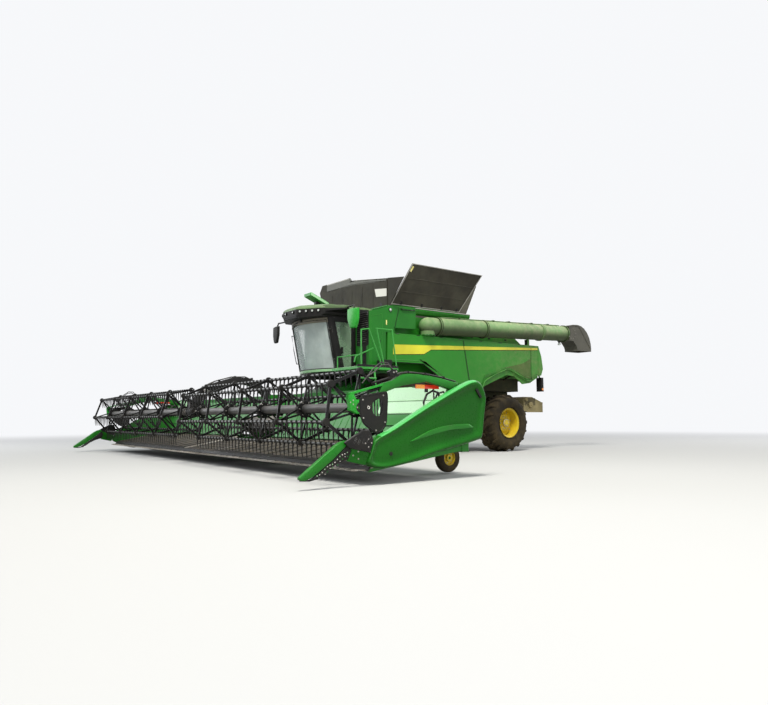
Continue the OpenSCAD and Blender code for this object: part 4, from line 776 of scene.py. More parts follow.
def belts():
    b = Build("draper_belts", True)
    fy, ry = KNIFE_Y + 0.09, -3.32
    n = 10
    x0, x1 = 0.93, HEAD_IN - 0.02
    top = [(fy + (ry - fy) * i / n, deck_z(fy + (ry - fy) * i / n) + 0.058) for i in range(n + 1)]
    low = [(y, z - 0.056) for y, z in top[::-1]]
    b.prism(top + low, "x", x0, x1, "belt")
    x = x0 + 0.13
    while x < x1 - 0.06:
        b.prism([(fy + 0.03, deck_z(fy + 0.03) + 0.057), (ry - 0.03, deck_z(ry - 0.03) + 0.057),
            (ry - 0.03, deck_z(ry - 0.03) + 0.07), (fy + 0.03, deck_z(fy + 0.03) + 0.07)], "x", x,
            x + 0.018, "belt")
        x += 0.45
    # Rollers at the ends of each belt and the seal strip along the knife
    for x in (x0 - 0.012, x1 - 0.03):
        b.tube(at_x(x + 0.022, (fy + 0.02, deck_z(fy) + 0.03), (ry - 0.02, deck_z(ry) + 0.03)), 0.034,
            "worn_steel", 12)
    b.prism([(fy - 0.002, deck_z(fy) + 0.055), (fy + 0.05, deck_z(fy + 0.05) + 0.072), (fy + 0.05,
        deck_z(fy + 0.05) + 0.062), (fy, deck_z(fy) + 0.045)], "x", x0, x1, "black_moulded")
    b.both = False
    my = -3.3
    top = [(fy + (my - fy) * i / 6, deck_z(fy + (my - fy) * i / 6) + 0.048 - 0.045 * i / 6)
        for i in range(7)]
    b.prism(top + [(y, z - 0.045) for y, z in top[::-1]], "x", -0.87, 0.87, "belt")
    for i in range(6):
        y = fy + 0.12 + i * 0.24
        z = deck_z(y) + 0.046 - 0.045 * (y - fy) / (my - fy)
        b.box(-0.86, 0.86, y, y + 0.02, z, z + 0.014, "belt")
    b.done("feeder_and_header", ("header_decks",))


def header_details():
    b = Build("header_fittings", True)
    # Ribs pressed in the back sheet
    low, high = ((-3.3 + (z - 0.562) / 0.888 * 0.498 - 0.004, z) for z in (0.62, 1.4))
    cover_start, cover_end = 4.55, 6.48
    for i in range(24):
        x = 1.15 + i * 0.235
        if not cover_start < x < cover_end:
            b.beam((x, *low), (x, *high), 0.05, 0.014, "green", up=(0, -1, 0.5))
    # Rear braces and a hose bundle with its clips
    for x in (1.1, 2.4, 3.7, 5.0, 6.3):
        b.beam((x, -2.64, 1.47), (x, -2.7, 0.5), 0.06, 0.03, "green", up=Y)
    for k, dz in enumerate((0.0, 0.035, 0.07)):
        path = [(0.95 + 0.35 * i, -2.635 + 0.012 * ((i + k) % 2),
            1.36 - dz - 0.012 * math.sin(i * 1.7 + k)) for i in range(16)]
        b.tube(path, 0.013, "hose", 6)
    for i in range(6):
        x = 1.3 + i
        b.box(x - 0.02, x + 0.02, -2.65, -2.615, 1.27, 1.38, "black_paint")
    # Grease bank and corner lights
    b.box(6.42, 6.5, -2.645, -2.6, 1.1, 1.22, "black_moulded")
    b.lathe((6.6, -2.64, 1.47), Y, [(0.045, 0), (0.045, 0.02), (0.036, 0.028), (0, 0.028)], "red", 20)
    b.lathe((6.45, -2.64, 1.47), Y, cap(0.035, 0.018, 0.022), "amber", 20)
    # Skid shoes
    for x in (1.4, 3.4, 5.4):
        rings = []
        for y, z, t in ((-4.8, 0.195, 0.01), (-4.66, 0.15, 0.012), (-4.35, 0.15, 0.012),
                (-4.15, 0.215, 0.012)):
            rings.append([(x - 0.16, y, z), (x + 0.16, y, z), (x + 0.16, y, z + t),
                (x - 0.16, y, z + t)])
        b.loft(rings, "black_moulded")
    b.done("feeder_and_header", bevel=0.003)


def header_covers():
    """Pale smooth cover at the ends of the back sheet, with its creases; its pale green is a painted
    reflection.
    """
    c = Build("header_end_covers", True)
    prof = [(-2.8, 1.52), (-2.83, 1.535), (-2.862, 1.537), (-2.884, 1.524), (-2.915, 1.41),
        (-2.946, 1.302), (-2.956, 1.291), (-2.95, 1.28), (-2.985, 1.19), (-3.03, 1.088),
        (-3.048, 1.078), (-3.052, 1.064), (-3.04, 1.05)]
    low = [(-3.04, 1.05), (-3.075, 0.985), (-3.135, 0.9), (-3.17, 0.85), (-3.15, 0.838)]
    for pts, mat in ((prof, "green_pale"), (low, "green")):
        c.loft([[(x, y, z) for y, z in pts] + [(x, y + 0.02, z - 0.004) for y, z in pts[::-1]]
            for x in (4.66, 4.68, 5.2, 5.8, 6.42, 6.44)], mat)
    c.done("feeder_and_header", angle=25)


def header_ends():
    """Reflector and hoses above the end shield."""
    r = Build("end_fittings", True)
    r.box(6.46, 6.54, -3.66, -3.16, 1.47, 1.478, "black_paint")
    # The red and amber reflector strips glow with the lamp materials: painted light
    r.box(6.545, 6.553, -3.66, -3.16, 1.455, 1.52, "red")
    r.box(6.5532, 6.556, -3.655, -3.47, 1.455, 1.52, "amber")
    r.box(6.5, 6.545, -3.43, -3.39, 1.4, 1.5, "black_paint")
    r.tube(at_x(6.5, (-3.1, 1.3), (-3.13, 1.4), (-3.25, 1.43), (-3.38, 1.37), (-3.45, 1.24),
        (-3.44, 1.05)), 0.018, "hose", 8)
    r.tube(at_x(6.53, (-3.24, 1.05), (-3.25, 1.25), (-3.26, 1.46)), 0.013, "hose", 8)
    r.tube([(6.47, -2.86, 1.3), (6.46, -2.98, 1.42), (6.46, -3.12, 1.38), (6.46, -3.2, 1.2)], 0.015,
        "hose", 8)
    r.done("feeder_and_header")


cutter_bar()
belts()
header_details()
header_covers()
header_ends()


# Body
SPLIT_Y, SPLIT_SLOPE, BODY_TOP = 2.16, 0.184, 3.1


def split_y(z, shift):
    """The leaning line between front and rear panel."""
    return SPLIT_Y + shift + SPLIT_SLOPE * (BODY_TOP - z)


def stripe_low(y):
    if y < 0.75:
        return 2.59 + (y + 0.28) * 0.058
    if y < 0.99:
        return 2.65 + (y - 0.75) * 0.542
    return 2.78 + (y - 0.99) * 0.0545


def stripe_top(y):
    return 2.84 + (y + 0.28) * 0.0425


def stripe_piece(name, body, s, y0, y1, cut0, cut1):
    """Yellow stripe with a dark line under it, between two ends that may follow the split."""
    b = Build(name)
    ys = [y0] + [y for y in (0.75, 0.99) if y0 < y < y1] + [y1]

    def end(y, z, cut):
        return split_y(z, cut) if cut is not None else y
    x = s * 1.5902
    for lo, hi, mat, t in ((0.0, None, "stripe_yellow", 0.0025),
            (-0.016, -0.003, "black_gloss", 0.002)):
        low = [(y, stripe_low(y) + lo) for y in ys]
        top = [(y, stripe_top(y) if hi is None else stripe_low(y) + hi) for y in ys]
        low[0] = (end(y0, low[0][1], cut0), low[0][1])
        top[0] = (end(y0, top[0][1], cut0), top[0][1])
        low[-1] = (end(y1, low[-1][1], cut1), low[-1][1])
        top[-1] = (end(y1, top[-1][1], cut1), top[-1][1])
        b.prism(low + top[::-1], "x", x, x + s * t, mat)
    b.done(body)


def body_sides():
    def latch(b, x, s, y):
        b.box(x - s * 0.002, x + s * 0.004, y, y + 0.12, 1.72, 1.77, "black_moulded")
        b.tube([(x + s * out, y + dy, 1.745) for out, dy in ((0.004, 0.01), (0.022, 0.03),
            (0.022, 0.09), (0.004, 0.11))], 0.006, "black_paint", 6)
    for s, w in SIDES:
        stripe_piece("stripe_front_" + w, "panel_front_" + w, s, -0.28, 2.19, None, -0.01)
        stripe_piece("stripe_rear_" + w, "panel_rear_" + w, s, 2.2, 5.285, 0.01, None)
        x, inner, outer = s * 1.5905, s * 1.59, s * 1.5925
        # Pressed line, partly a painted highlight, and shaded facet above the wheel arch, latch and rubber
        # edge
        f = Build("panel_front_fittings_" + w)
        f.sweep(at_x(x, (-0.44, 2.462), (0.78, 2.462), (1.41, 2.085), (1.8, 1.66)),
            section(0.004, 0.009), "green_lip", up=X)
        f.prism([(0.605, 2.5), (0.845, 2.44), (1.345, 2.13), (1.415, 2.095), (0.785, 2.475),
            (0.6, 2.475)], "x", inner, outer, "green_shade")
        f.sweep(at_x(s * 1.565, (-0.465, 2.395), (0.728, 2.395), (1.366, 2.014), (1.756, 1.597),
            (2.42, 1.597)), section(0.018, 0.012, 0.006), "black_moulded")
        latch(f, x, s, 1.9)
        f.done("panel_front_" + w)
        r = Build("panel_rear_fittings_" + w)
        r.sweep(at_x(x, (2.76, 1.66), (2.99, 2.165), (3.88, 2.41), (4.12, 2.39), (4.77, 2.18),
            (5.27, 2.29)), section(0.004, 0.009), "green_body", up=X)
        latch(r, x, s, 2.6)
        r.sweep(at_x(x, (4.985, 3.085), (4.97, 2.62), (4.968, 2.135), (5.048, 2.085)),
            section(0.0025, 0.008), "black_gloss", up=X)
        # Dark edge along the split, shaded facet and the pale lip of the rear wheel's arch; the lip's pale
        # green is partly dust and partly a painted highlight
        r.prism([(2.173, 3.1), (2.197, 3.1), (2.464, 1.65), (2.44, 1.65)], "x", inner, s * 1.5915,
            "black_moulded")
        r.prism([(4.6, 2.575), (4.945, 2.73), (4.95, 2.14), (4.7, 2.15), (4.515, 2.235), (4.1, 2.405),
            (3.95, 2.425), (3.64, 2.385)], "x", inner, outer, "green_shade")
        arch = at_x(s * 1.5915, *((y, z - 0.03) for y, z in ((2.78, 1.65), (2.99, 2.035), (3.35, 2.21),
            (3.86, 2.395), (4.06, 2.388), (4.5, 2.19), (4.78, 2.085), (5.04, 2.12))))
        for p, q in zip(arch, arch[1:]):
            r.sweep([p, q], [(-0.004, -0.034), (0.005, -0.02), (0.005, 0.02), (-0.004, 0.034)],
                "green_lip", up=(s, 0, 0))
        r.done("panel_rear_" + w)


body_sides()


# Auger
AUG_X, AUG_Y, AUG_Z = 1.57, 0.9, 3.405
AUG_TILT, AUG_END, AUG_RADIUS = math.radians(2.1), 5.68, 0.235
AUG = Vector((AUG_X, AUG_Y, AUG_Z))
AUG_DIR = Vector((0, math.cos(AUG_TILT), math.sin(AUG_TILT)))
AUG_UP = Vector((0, -AUG_DIR.z, AUG_DIR.y))


def aug(along, side=0.0, up=0.0):
    p = AUG + AUG_DIR * along + Vector((side, 0, 0)) + AUG_UP * up
    return (p.x, p.y, p.z)


def auger_details():
    b = Build("auger_fittings")
    for at, mat in ((0.305, "frame_dusty"), (2.063, "frame_dusty"), (4.505, "green_dusty"),
            (5.66, "frame_dusty")):
        for d in (-0.028, 0.028):
            b.lathe(aug(at + d), AUG_DIR, [(0.236, -0.012), (0.264, -0.006), (0.264, 0.006),
                (0.236, 0.012)], mat, 48, closed=True)
        b.bolts(aug(at + 0.034), AUG_DIR, 0.25, 16, 0.008, 0.008)
    # Hydraulic lines and cable along the top, with clamps
    for side, r in ((0.03, 0.011), (0.065, 0.011), (-0.02, 0.007)):
        h = math.sqrt(AUG_RADIUS ** 2 - side ** 2)
        pts = [aug(0.42 + 0.5 * i, side, h + r + 0.006 + 0.002 * math.sin(2.1 * i)) for i in range(11)]
        b.tube(pts, r, "green_dusty", 8)
    for along in (1.1, 2.45, 3.1, 4.1, 4.86):
        b.sweep([aug(along, -0.05, 0.232), aug(along, 0.09, 0.226)], section(0.03, 0.004, 0.042, 0.024),
            "frame_dusty", up=tuple(AUG_UP))
    # Weld beads round the tube
    for at in (1.15, 2.9, 3.7, 5.15):
        b.lathe(aug(at), AUG_DIR, [(0.234, -0.008), (0.2385, 0), (0.234, 0.008)], "green_dusty", 48)
    # Lamp on its arm under the tube's end
    b.sweep([aug(5.45, 0, -0.235), aug(5.45, 0, -0.3)], section(0.02, 0.02), "black_paint",
        up=tuple(AUG_DIR))
    b.lathe(aug(5.45, 0, -0.33), (0, 0.3, -1), [(0.03, -0.03), (0.05, 0.0), (0.05, 0.03), (0.04, 0.035),
        (0, 0.035)], "lamp", 20)
    b.done("unloading_auger")


def spout_lip():
    """Inner side of the spout's lip, its side bands and clamp bolts."""
    y, z = AUG.y + AUG_DIR.y * AUG_END, AUG.z + AUG_DIR.z * AUG_END
    c = Build("spout_lip")
    end = y + 1.09
    near, far = AUG_X + 0.247, AUG_X - 0.247
    c.sweep([(far, y + 0.385, z - 0.53), (near, y + 0.385, z - 0.53), (near, end - 0.022, z - 0.523),
        (far, end - 0.022, z - 0.523)], section(0.006, 0.012, 0.03), "spout_rubber", closed=True)
    for s in (-1, 1):
        x = AUG_X + s * 0.2455
        c.sweep(at_x(x, (y + 0.03, z + 0.2), (y + 0.2, z + 0.25), (y + 0.49, z + 0.235),
            (end - 0.06, z - 0.43)), section(0.004, 0.01), "spout_rubber", up=X)
        c.bolts((x, y + 0.12, z), (s, 0, 0), 0.17, 10, 0.01, 0.008)
    c.done("unloading_auger")


# Grain tank flaps
FLAP_X, FLAP_Z, FLAP_LEAN = 1.525, 3.905, math.radians(25)


def side_flaps():
    lean_x, lean_z = math.sin(FLAP_LEAN), math.cos(FLAP_LEAN)
    for s, w in SIDES:
        def at(y, up, out):
            return (s * (FLAP_X + lean_x * up + lean_z * out), y, FLAP_Z + lean_z * up - lean_x * out)
        b = Build("flap_fittings_" + w)
        out = (s * lean_z, 0, -lean_x)
        edge = [(-0.297, 0.003), (2.066, 0.003), (2.514, 1.106), (0.044, 1.106)]
        b.sweep([at(y, u, 0.031) for y, u in edge], section(0.01, 0.002, 0.006), "light_edge",
            closed=True, up=out)
        # Pressed ribs inside the flap
        for i in range(6):
            y = 0.1 + 0.37 * i
            b.sweep([at(y, 0.05, -0.001), at(y + 0.1, 1.05, -0.001)], section(0.03, 0.003, 0.002, 0.02),
                "flap", up=out)
        for u in (0.35, 0.72):
            b.sweep([at(-0.12 + u * 0.2, u, 0.03), at(2.1 + u * 0.38, u, 0.03)],
                section(0.016, 0.001, 0.005, 0.01), "flap", up=out)
        for y in (0.0, 0.7, 1.4, 1.95):
            b.sweep([at(y, 0.002, 0.034), at(y, 0.1, 0.034)], section(0.035, 0.004, 0.003),
                "black_paint", up=out)
        # Yellow strip at the flap's corner, glowing: painted light
        b.sweep([at(0.08, 1.04, 0.031), at(0.035, 0.895, 0.031)], section(0.022, 0.001, 0.006),
            "pale_yellow", up=out)
        b.done("flap_" + w)


def front_flap():
    f = Build("front_flap_fittings")
    y = -0.3705
    # Light edge along the top, and the seam under it
    f.sweep([(-1.45, y, 4.85), (-0.27, y, 4.85)], section(0.003, 0.013), "light_edge", up=Z)
    f.sweep([(-0.25, y, 4.752), (0.02, y, 4.746), (1.44, y, 4.555)], section(0.003, 0.012),
        "light_edge", up=Z)
    f.sweep([(-1.45, y, 4.66), (-0.2, y, 4.66), (0.6, y, 4.6), (1.45, y, 4.5)], section(0.003, 0.005),
        "black_moulded", up=Z)
    f.prism([(0.93, 4.36), (1.445, 4.3), (1.445, 4.1), (0.99, 4.145)], "y", y - 0.003, y, "white_plate")
    # Lighter upper strip of the sheet
    f.prism([(-1.44, 4.66), (-1.44, 4.84), (-0.2, 4.84), (-0.13, 4.765), (1.44, 4.565), (1.44, 4.505),
        (-0.12, 4.64)], "y", y - 0.003, y, "flap_light")
    for i in range(5):
        x = -1.15 + 0.5 * i
        f.sweep([(x, y - 0.001, 3.92), (x, y - 0.001, 4.5)], section(0.003, 0.014), "flap_dark", up=X)
    for x in (-1.2, -0.4, 0.4, 1.2):
        f.box(x - 0.04, x + 0.04, y - 0.003, y, 3.872, 3.96, "black_paint")
    f.done("flap_front")


def tank_details():
    b = Build("tank_fittings", True)
    # Rim flange with its ribs, rungs inside
    b.box(1.541, 1.556, 0.5, 2.48, 3.842, 3.862, "light_edge")
    for i in range(8):
        y = 0.62 + i * 0.25
        b.box(1.5405, 1.548, y, y + 0.016, 3.765, 3.838, "green_body")
    b.both = False
    for i in range(5):
        z = 2.5 + 0.28 * i
        b.tube([(-0.6, 2.485, z), (-0.6, 2.44, z), (-0.25, 2.44, z), (-0.25, 2.485, z)], 0.012,
            "rail_green", 8)
    # Filling auger head in the middle of the tank
    b.tube([(0.25, 2.2, 2.2), (0.2, 1.9, 2.9), (0.12, 1.5, 3.62)], 0.17, "green_body", 28)
    b.lathe((0.12, 1.5, 3.62), (-0.05, -0.3, 0.6), [(0.171, -0.02), (0.19, 0.0), (0.19, 0.04),
        (0.05, 0.07), (0, 0.07)], "worn_steel", 28)
    # Cross augers' covers at the floor
    for y in (0.25, 1.15):
        b.prism([(y - 0.2, 2.165), (y, 2.34), (y + 0.2, 2.165)], "x", -0.9, 0.9, "green_body")
    b.done("chassis")


auger_details()
spout_lip()
side_flaps()
front_flap()
tank_details()


# Cab
SCREEN_HALF, SCREEN_BULGE = 0.96, 0.33
SCREEN_RADIUS = (SCREEN_HALF * SCREEN_HALF + SCREEN_BULGE * SCREEN_BULGE) / (2 * SCREEN_BULGE)
WALL = 0.889
FORWARD = (0, -1, 0)
ROOF_Z, ROOF_REAR = 3.5, -0.42
LAMP_RADIUS = 0.034
MIRROR_PLACE, MIRROR_TURN = (1.945, -1.745, 3.35), math.radians(8)


def front_at(x, z, out=0.0):
    """A point on the outside of the leaning windscreen."""
    front = -1.49 + (z - 2.12) / 1.38 * (-1.77 + 1.49)
    return (x, front - SCREEN_BULGE + SCREEN_RADIUS - math.sqrt((SCREEN_RADIUS + out) ** 2 - x * x), z)


def front_line(z, out, half):
    return [front_at(-half + 2 * half * i / 16, z, out) for i in range(17)]


def cab_details():
    b = Build("cab_fittings")
    # Rubber seals round the windscreen
    seal = section(0.012, 0.004, 0.006)
    for x in (-0.872, 0.872):
        b.sweep([front_at(x, z, 0.004) for z in (2.23, 2.8, 3.44)], seal, "black_moulded", up=FORWARD)
    for z in (2.225, 3.435):
        b.sweep(front_line(z, 0.004, 0.87), seal, "black_moulded", up=FORWARD)
    # Pale post and brown lining on the far side
    for lo, hi, mat in ((-0.935, -0.85, "light_edge"), (-0.85, -0.79, "cab_trim")):
        edge = ((lo, 0.003), (lo + 0.006, 0.01), (hi - 0.006, 0.01), (hi, 0.003))
        b.loft([[front_at(x, z, out) for x, out in edge] for z in (2.16, 2.6, 3.0, 3.44)], mat)
    # Brown band under the roof, pale strip under the windscreen
    for rows, mat in ((((3.375, 0.003), (3.378, 0.009), (3.47, 0.01), (3.49, 0.003)), "cab_trim"),
            (((2.15, 0.003), (2.156, 0.012), (2.215, 0.012), (2.222, 0.003)), "green_pale")):
        b.loft([front_line(z, out, 0.9) for z, out in rows], mat, closed=False, caps=False)
    # Wiper, parked along the top
    b.lathe(front_at(0.1, 3.47, -0.005), (0, -1, -0.2), cap(0.035, 0.04, 0.045), "black_moulded", 16)
    b.tube([front_at(0.1, 3.47, 0.03), front_at(-0.28, 3.43, 0.028), front_at(-0.5, 3.4, 0.024)], 0.009,
        "black_gloss")
    b.tube([front_at(-0.1 - 0.14 * i, 3.395 - 0.006 * i, 0.016) for i in range(6)], 0.008,
        "black_moulded", 6)
    # Grab rails beside the windscreen
    for x in (-0.93, 0.93):
        b.tube([front_at(x, z, out) for z, out in ((3.2, 0.004), (3.2, 0.06), (2.8, 0.07), (2.45, 0.06),
            (2.45, 0.004))], 0.011, "black_paint")
    # Floor mat, rear wall, left console and headliner
    for place in ((-0.84, 0.84, -1.42, -0.5, 2.181, 2.192), (-0.88, 0.88, -0.62, -0.495, 2.19, 2.68),
            (-0.86, -0.6, -1.25, -0.62, 2.19, 2.58), (-0.8, 0.8, -1.6, -0.52, 3.4, 3.47)):
        b.box(*place, "liner_grey")
    # Pale lining of the side wall behind the window, with its pocket rail
    b.box(-WALL, 0.008 - WALL, -1.035, -0.56, 2.7, 3.38, "liner_pale")
    b.box(0.008 - WALL, 0.03 - WALL, -0.98, -0.62, 2.735, 2.76, "liner_grey")
    b.tube([(x, y, 3.36) for x, y in ((-0.8, -0.5), (-0.4, -0.56), (0.4, -0.56), (0.8, -0.5))], 0.02,
        "black_moulded")
    # Radio panel and cup holder
    b.box(0.6, 0.78, -0.64, -0.6, 3.24, 3.38, "black_moulded")
    b.lathe((-0.7, -0.95, 2.58), Z, [(0.05, 0), (0.05, 0.06), (0.04, 0.06), (0.04, 0.01), (0, 0.01)],
        "black_moulded", 20)
    # Pedals
    for x in (-0.22, 0.22, 0.32):
        b.box(x - 0.04, x + 0.04, -1.47, -1.44, 2.24, 2.36, "black_moulded")
        b.tube([(x, -1.44, 2.3), (x, -1.4, 2.2)], 0.012, "black_paint", 6)
    b.done("chassis", bevel=0.004)


def roof_outline(*half):
    """Both sides of an outline, with four points in place of each corner."""
    pts = list(half) + [(-x, y) for x, y in half[::-1]]
    out = []
    for i, (x, y) in enumerate(pts):
        before, after = pts[i - 1], pts[(i + 1) % len(pts)]
        for f, (ex, ey) in ((0.14, before), (0.02695, before), (0.02695, after), (0.14, after)):
            out.append((x + (ex - x) * f, y + (ey - y) * f))
    return out


def roof_shell(r):
    """Crowned top over a dark visor."""
    low = roof_outline((0.33, -2.38), (0.93, -2.0), (0.96, ROOF_REAR))
    wide = roof_outline((0.35, -2.388), (0.99, -1.96), (1.01, ROOF_REAR + 0.02))
    top = roof_outline((0.26, -2.22), (0.8, -1.85), (0.86, ROOF_REAR - 0.02))

    def ring(a, c, k, h, grow=0.0):
        mixed = [(px + (qx - px) * k, py + (qy - py) * k) for (px, py), (qx, qy) in zip(a, c)]
        return [(x * (1 + grow), y + (y + 1.2) * grow, ROOF_Z + h) for x, y in mixed]
    visor = ((0.0, 0.0, -0.03), (0.0, 0.006), (0.15, 0.035), (0.9, 0.056), (1.0, 0.066), (1.0, 0.214))
    crown = ((0.0, 0.205, 0.004), (0.0, 0.222, 0.004), (0.04, 0.24), (0.22, 0.274), (0.55, 0.305),
        (0.85, 0.326), (1.0, 0.334), (1.0, 0.338, -0.1), (1.0, 0.343, -0.35))
    r.loft([ring(low, wide, *row) for row in visor], "black_moulded")
    r.loft([ring(wide, top, *row) for row in crown], "green_roof")
    # Outriggers over the doors, bright above and dark below
    plan = ((0.94, -1.97, -1.3), (1.1, -1.86, -1.36), (1.41, -1.64, -1.5), (1.428, -1.63, -1.51))
    for s in (1, -1):
        for mat, z0, z1, z2, z3 in (("black_moulded", 0.125, 0.205, 0.145, 0.185),
                ("green_roof", 0.2, 0.288, 0.18, 0.25)):
            heights = ((z0, z1), (z0 + (z2 - z0) * 0.35, z1 + (z3 - z1) * 0.35), (z2, z3),
                (z2 + 0.006, z3 - 0.006))
            rings = []
            for (x, ya, yb), (lo, hi) in zip(plan, heights):
                outline = ((ya, lo), (ya, hi - 0.012), (ya + 0.02, hi), (yb - 0.02, hi),
                    (yb, hi - 0.012), (yb, lo))
                rings.append([(s * x, y, ROOF_Z + h) for y, h in outline])
            r.loft(rings, mat)


def lamp(r, place, out):
    k = LAMP_RADIUS
    r.lathe(place, out, [(k * 1.18, -0.01), (k * 1.18, 0.018), (k, 0.022), (k * 0.9, 0.006)],
        "black_moulded", 24)
    r.lathe(place, out, [(k * 0.92, 0.004), (k * 0.7, 0.012), (0, 0.016)], "lamp", 24)


def roof_details():
    r = Build("roof_fittings")
    roof_shell(r)
    z = ROOF_Z + 0.335
    for s in (1, -1):
        # Lamps along the visor
        p0, p1 = Vector((s * 0.352, -2.392, ROOF_Z + 0.15)), Vector((s * 0.99, -1.962, ROOF_Z + 0.15))
        t = (p1 - p0).normalized()
        n = Vector((t.y * s, -t.x * s, 0))
        for f in (0.14, 0.36, 0.58, 0.8):
            lamp(r, p0 + (p1 - p0) * f + n * 0.012, n)
        lamp(r, (s * 0.19, -2.404, ROOF_Z + 0.15), FORWARD)
        # Roof rail and aerial
        r.sweep(at_x(s * 0.8, (-0.5, z), (-1.75, z)), section(0.02, 0.02, 0.02, 0.014), "green_roof")
        r.tube(at_x(s * 0.45, (-0.5, ROOF_Z + 0.33), (-0.49, ROOF_Z + 0.5), (-0.44, ROOF_Z + 0.82)),
            0.005, "black_moulded", 6)
        r.lathe((s * 0.45, -0.5, z), Z, [(0.022, 0), (0.016, 0.04), (0, 0.045)], "black_moulded", 14)
    # Rim of the hatch
    z = ROOF_Z + 0.338
    r.sweep([(-0.45, -0.75, z), (-0.45, -1.45, z), (0.45, -1.45, z), (0.45, -0.75, z)],
        section(0.014, 0.004, 0.006, 0.01), "green_roof", closed=True)
    # Satellite receiver: pale cover on its post
    r.loft([[(x * k, y, ROOF_Z + h) for x, y in ((-0.055, -1.635), (0.055, -1.635), (0.055, -1.505),
        (-0.055, -1.505))] for k, h in ((1.6, 0.33), (1.5, 0.35), (1.0, 0.37), (1.0, 0.53))],
        "black_moulded")
    slab = [(-1.874, 4.152), (-1.878, 4.224), (-1.842, 4.24), (-1.6, 4.142), (-1.315, 4.021),
        (-1.284, 3.972), (-1.32, 3.962), (-1.4, 3.954), (-1.62, 4.046)]
    for pts, half, roll, mat in ((slab, 0.168, 0.014, "rail_green"), (shrunk(slab, 0.016), 0.1695,
            0.003, "green_pale")):
        r.loft([at_x(x, *shrunk(pts, d)) for d, x in ((roll, -half), (0.0, -half + roll),
            (0.0, half - roll), (roll, half))], mat)
    r.done("chassis", ("cab_roof",), bevel=0.002)


def mirror_ring(pts, y, wide=1.0, high=1.0, s=1):
    """An (x, z) outline on a mirror, y behind its middle."""
    c, d = math.cos(MIRROR_TURN), math.sin(MIRROR_TURN)
    mx, my, mz = MIRROR_PLACE
    return [(s * (mx + x * wide * c - y * d), my + x * wide * d + y * c, mz + (z - mz) * high) for x,
        z in pts]


def mirrors():
    m = Build("mirror_faces", True)
    pts = [(-0.165, 3.56), (0.165, 3.56), (0.165, 3.34), (0.092, 3.135), (-0.072, 3.135),
        (-0.165, 3.34)]
    m.loft([mirror_ring(pts, y) for y in (0.0355, 0.04)], "mirror_face")
    m.loft([mirror_ring(pts, y, 1.09, 1.07) for y in (0.03, 0.0375)], "black_moulded")
    m.done("chassis")

    cover = Build("mirror_covers")
    pts = [(-0.182, 3.575), (0.0, 3.585), (0.182, 3.575), (0.184, 3.33), (0.145, 3.2), (0.098, 3.108),
        (-0.08, 3.108), (-0.135, 3.2), (-0.184, 3.33)]
    # The left cover is in the lighter green and the right cover in black: painted light and painted shade
    # on two like covers
    for s, mat in ((1, "green_bright"), (-1, "black_moulded")):
        cover.loft([mirror_ring(pts, y, k, k, s) for k, y in ((1.0, 0.03), (1.0, -0.012),
            (0.93, -0.036), (0.72, -0.046))], mat)
        cover.tube([(s * 1.436, -1.574, 3.69), (s * 1.9, -1.7, 3.67), (s * 1.935, -1.725, 3.56)], 0.02,
            "black_paint", 10)
    cover.done("chassis", ("cab_mirrors",), bevel=0.004)


def door_details():
    """Seal, handle and inner grab rail of the cab door."""
    d = Build("door_fittings")
    x = 0.9605
    d.sweep(at_x(x, (-1.39, 2.22), (-1.088, 2.22), (-1.088, 3.43), (-1.656, 3.43)),
        section(0.01, 0.004), "black_moulded", closed=True, up=X)
    d.box(x - 0.008, x + 0.01, -1.45, -1.39, 2.6, 2.76, "black_moulded")
    for path, r in (([(x, -1.43, 2.62), (x + 0.032, -1.43, 2.64), (x + 0.032, -1.44, 2.74),
            (x, -1.44, 2.76)], 0.009), ([(0.905, -1.12, 2.45), (0.86, -1.14, 2.5), (0.86, -1.16, 2.95),
            (0.905, -1.15, 3.0)], 0.012)):
        d.tube(path, r, "black_moulded")
    d.done("cab_door")


def cushion(name, centre, size, tilt, channels):
    """Crowned closed form, pinched at its seams and raised near its sides."""
    n = 28
    wide, deep, thick = size
    steps = [-1 + 2 * i / n for i in range(n + 1)]

    def top(u, v):
        edge = (1 - abs(u) ** 4) ** 0.5 * (1 - abs(v) ** 4) ** 0.5
        seam = sum(0.02 * math.exp(-((v - c) / 0.035) ** 2) for c in channels)
        bolster = 0.018 * math.exp(-((abs(u) - 0.82) / 0.14) ** 2)
        groove = 0.012 * math.exp(-((abs(u) - 0.6) / 0.03) ** 2)
        return edge * (thick / 2 + bolster) - seam * edge - groove * edge

    def bottom(u, v):
        return -0.4 * thick * ((1 - abs(u) ** 8) * (1 - abs(v) ** 8)) ** 0.3
    verts = []
    for height in (top, bottom):
        for v in steps:
            for u in steps:
                across_u = u * (1 - 0.1 * max(0, abs(v) - 0.7) ** 1.2)
                along_v = v * (1 - 0.1 * max(0, abs(u) - 0.7) ** 1.2)
                verts.append((across_u * wide / 2, along_v * deep / 2, height(u, v)))
    faces = []
    for start, order in ((0, 1), ((n + 1) ** 2, -1)):
        for a in (start + j * (n + 1) + i for j in range(n) for i in range(n)):
            faces.append([a, a + 1, a + n + 2, a + n + 1][::order])
    turn = Matrix.Rotation(tilt, 4, "X")
    b = Build(name)
    b.add([tuple(Vector(centre) + turn @ Vector(p)) for p in verts], faces, "fabric")
    ob = b.done("chassis", angle=60)
    sub = ob.modifiers.new("smooth", "SUBSURF")
    sub.levels = sub.render_levels = 1
    return ob


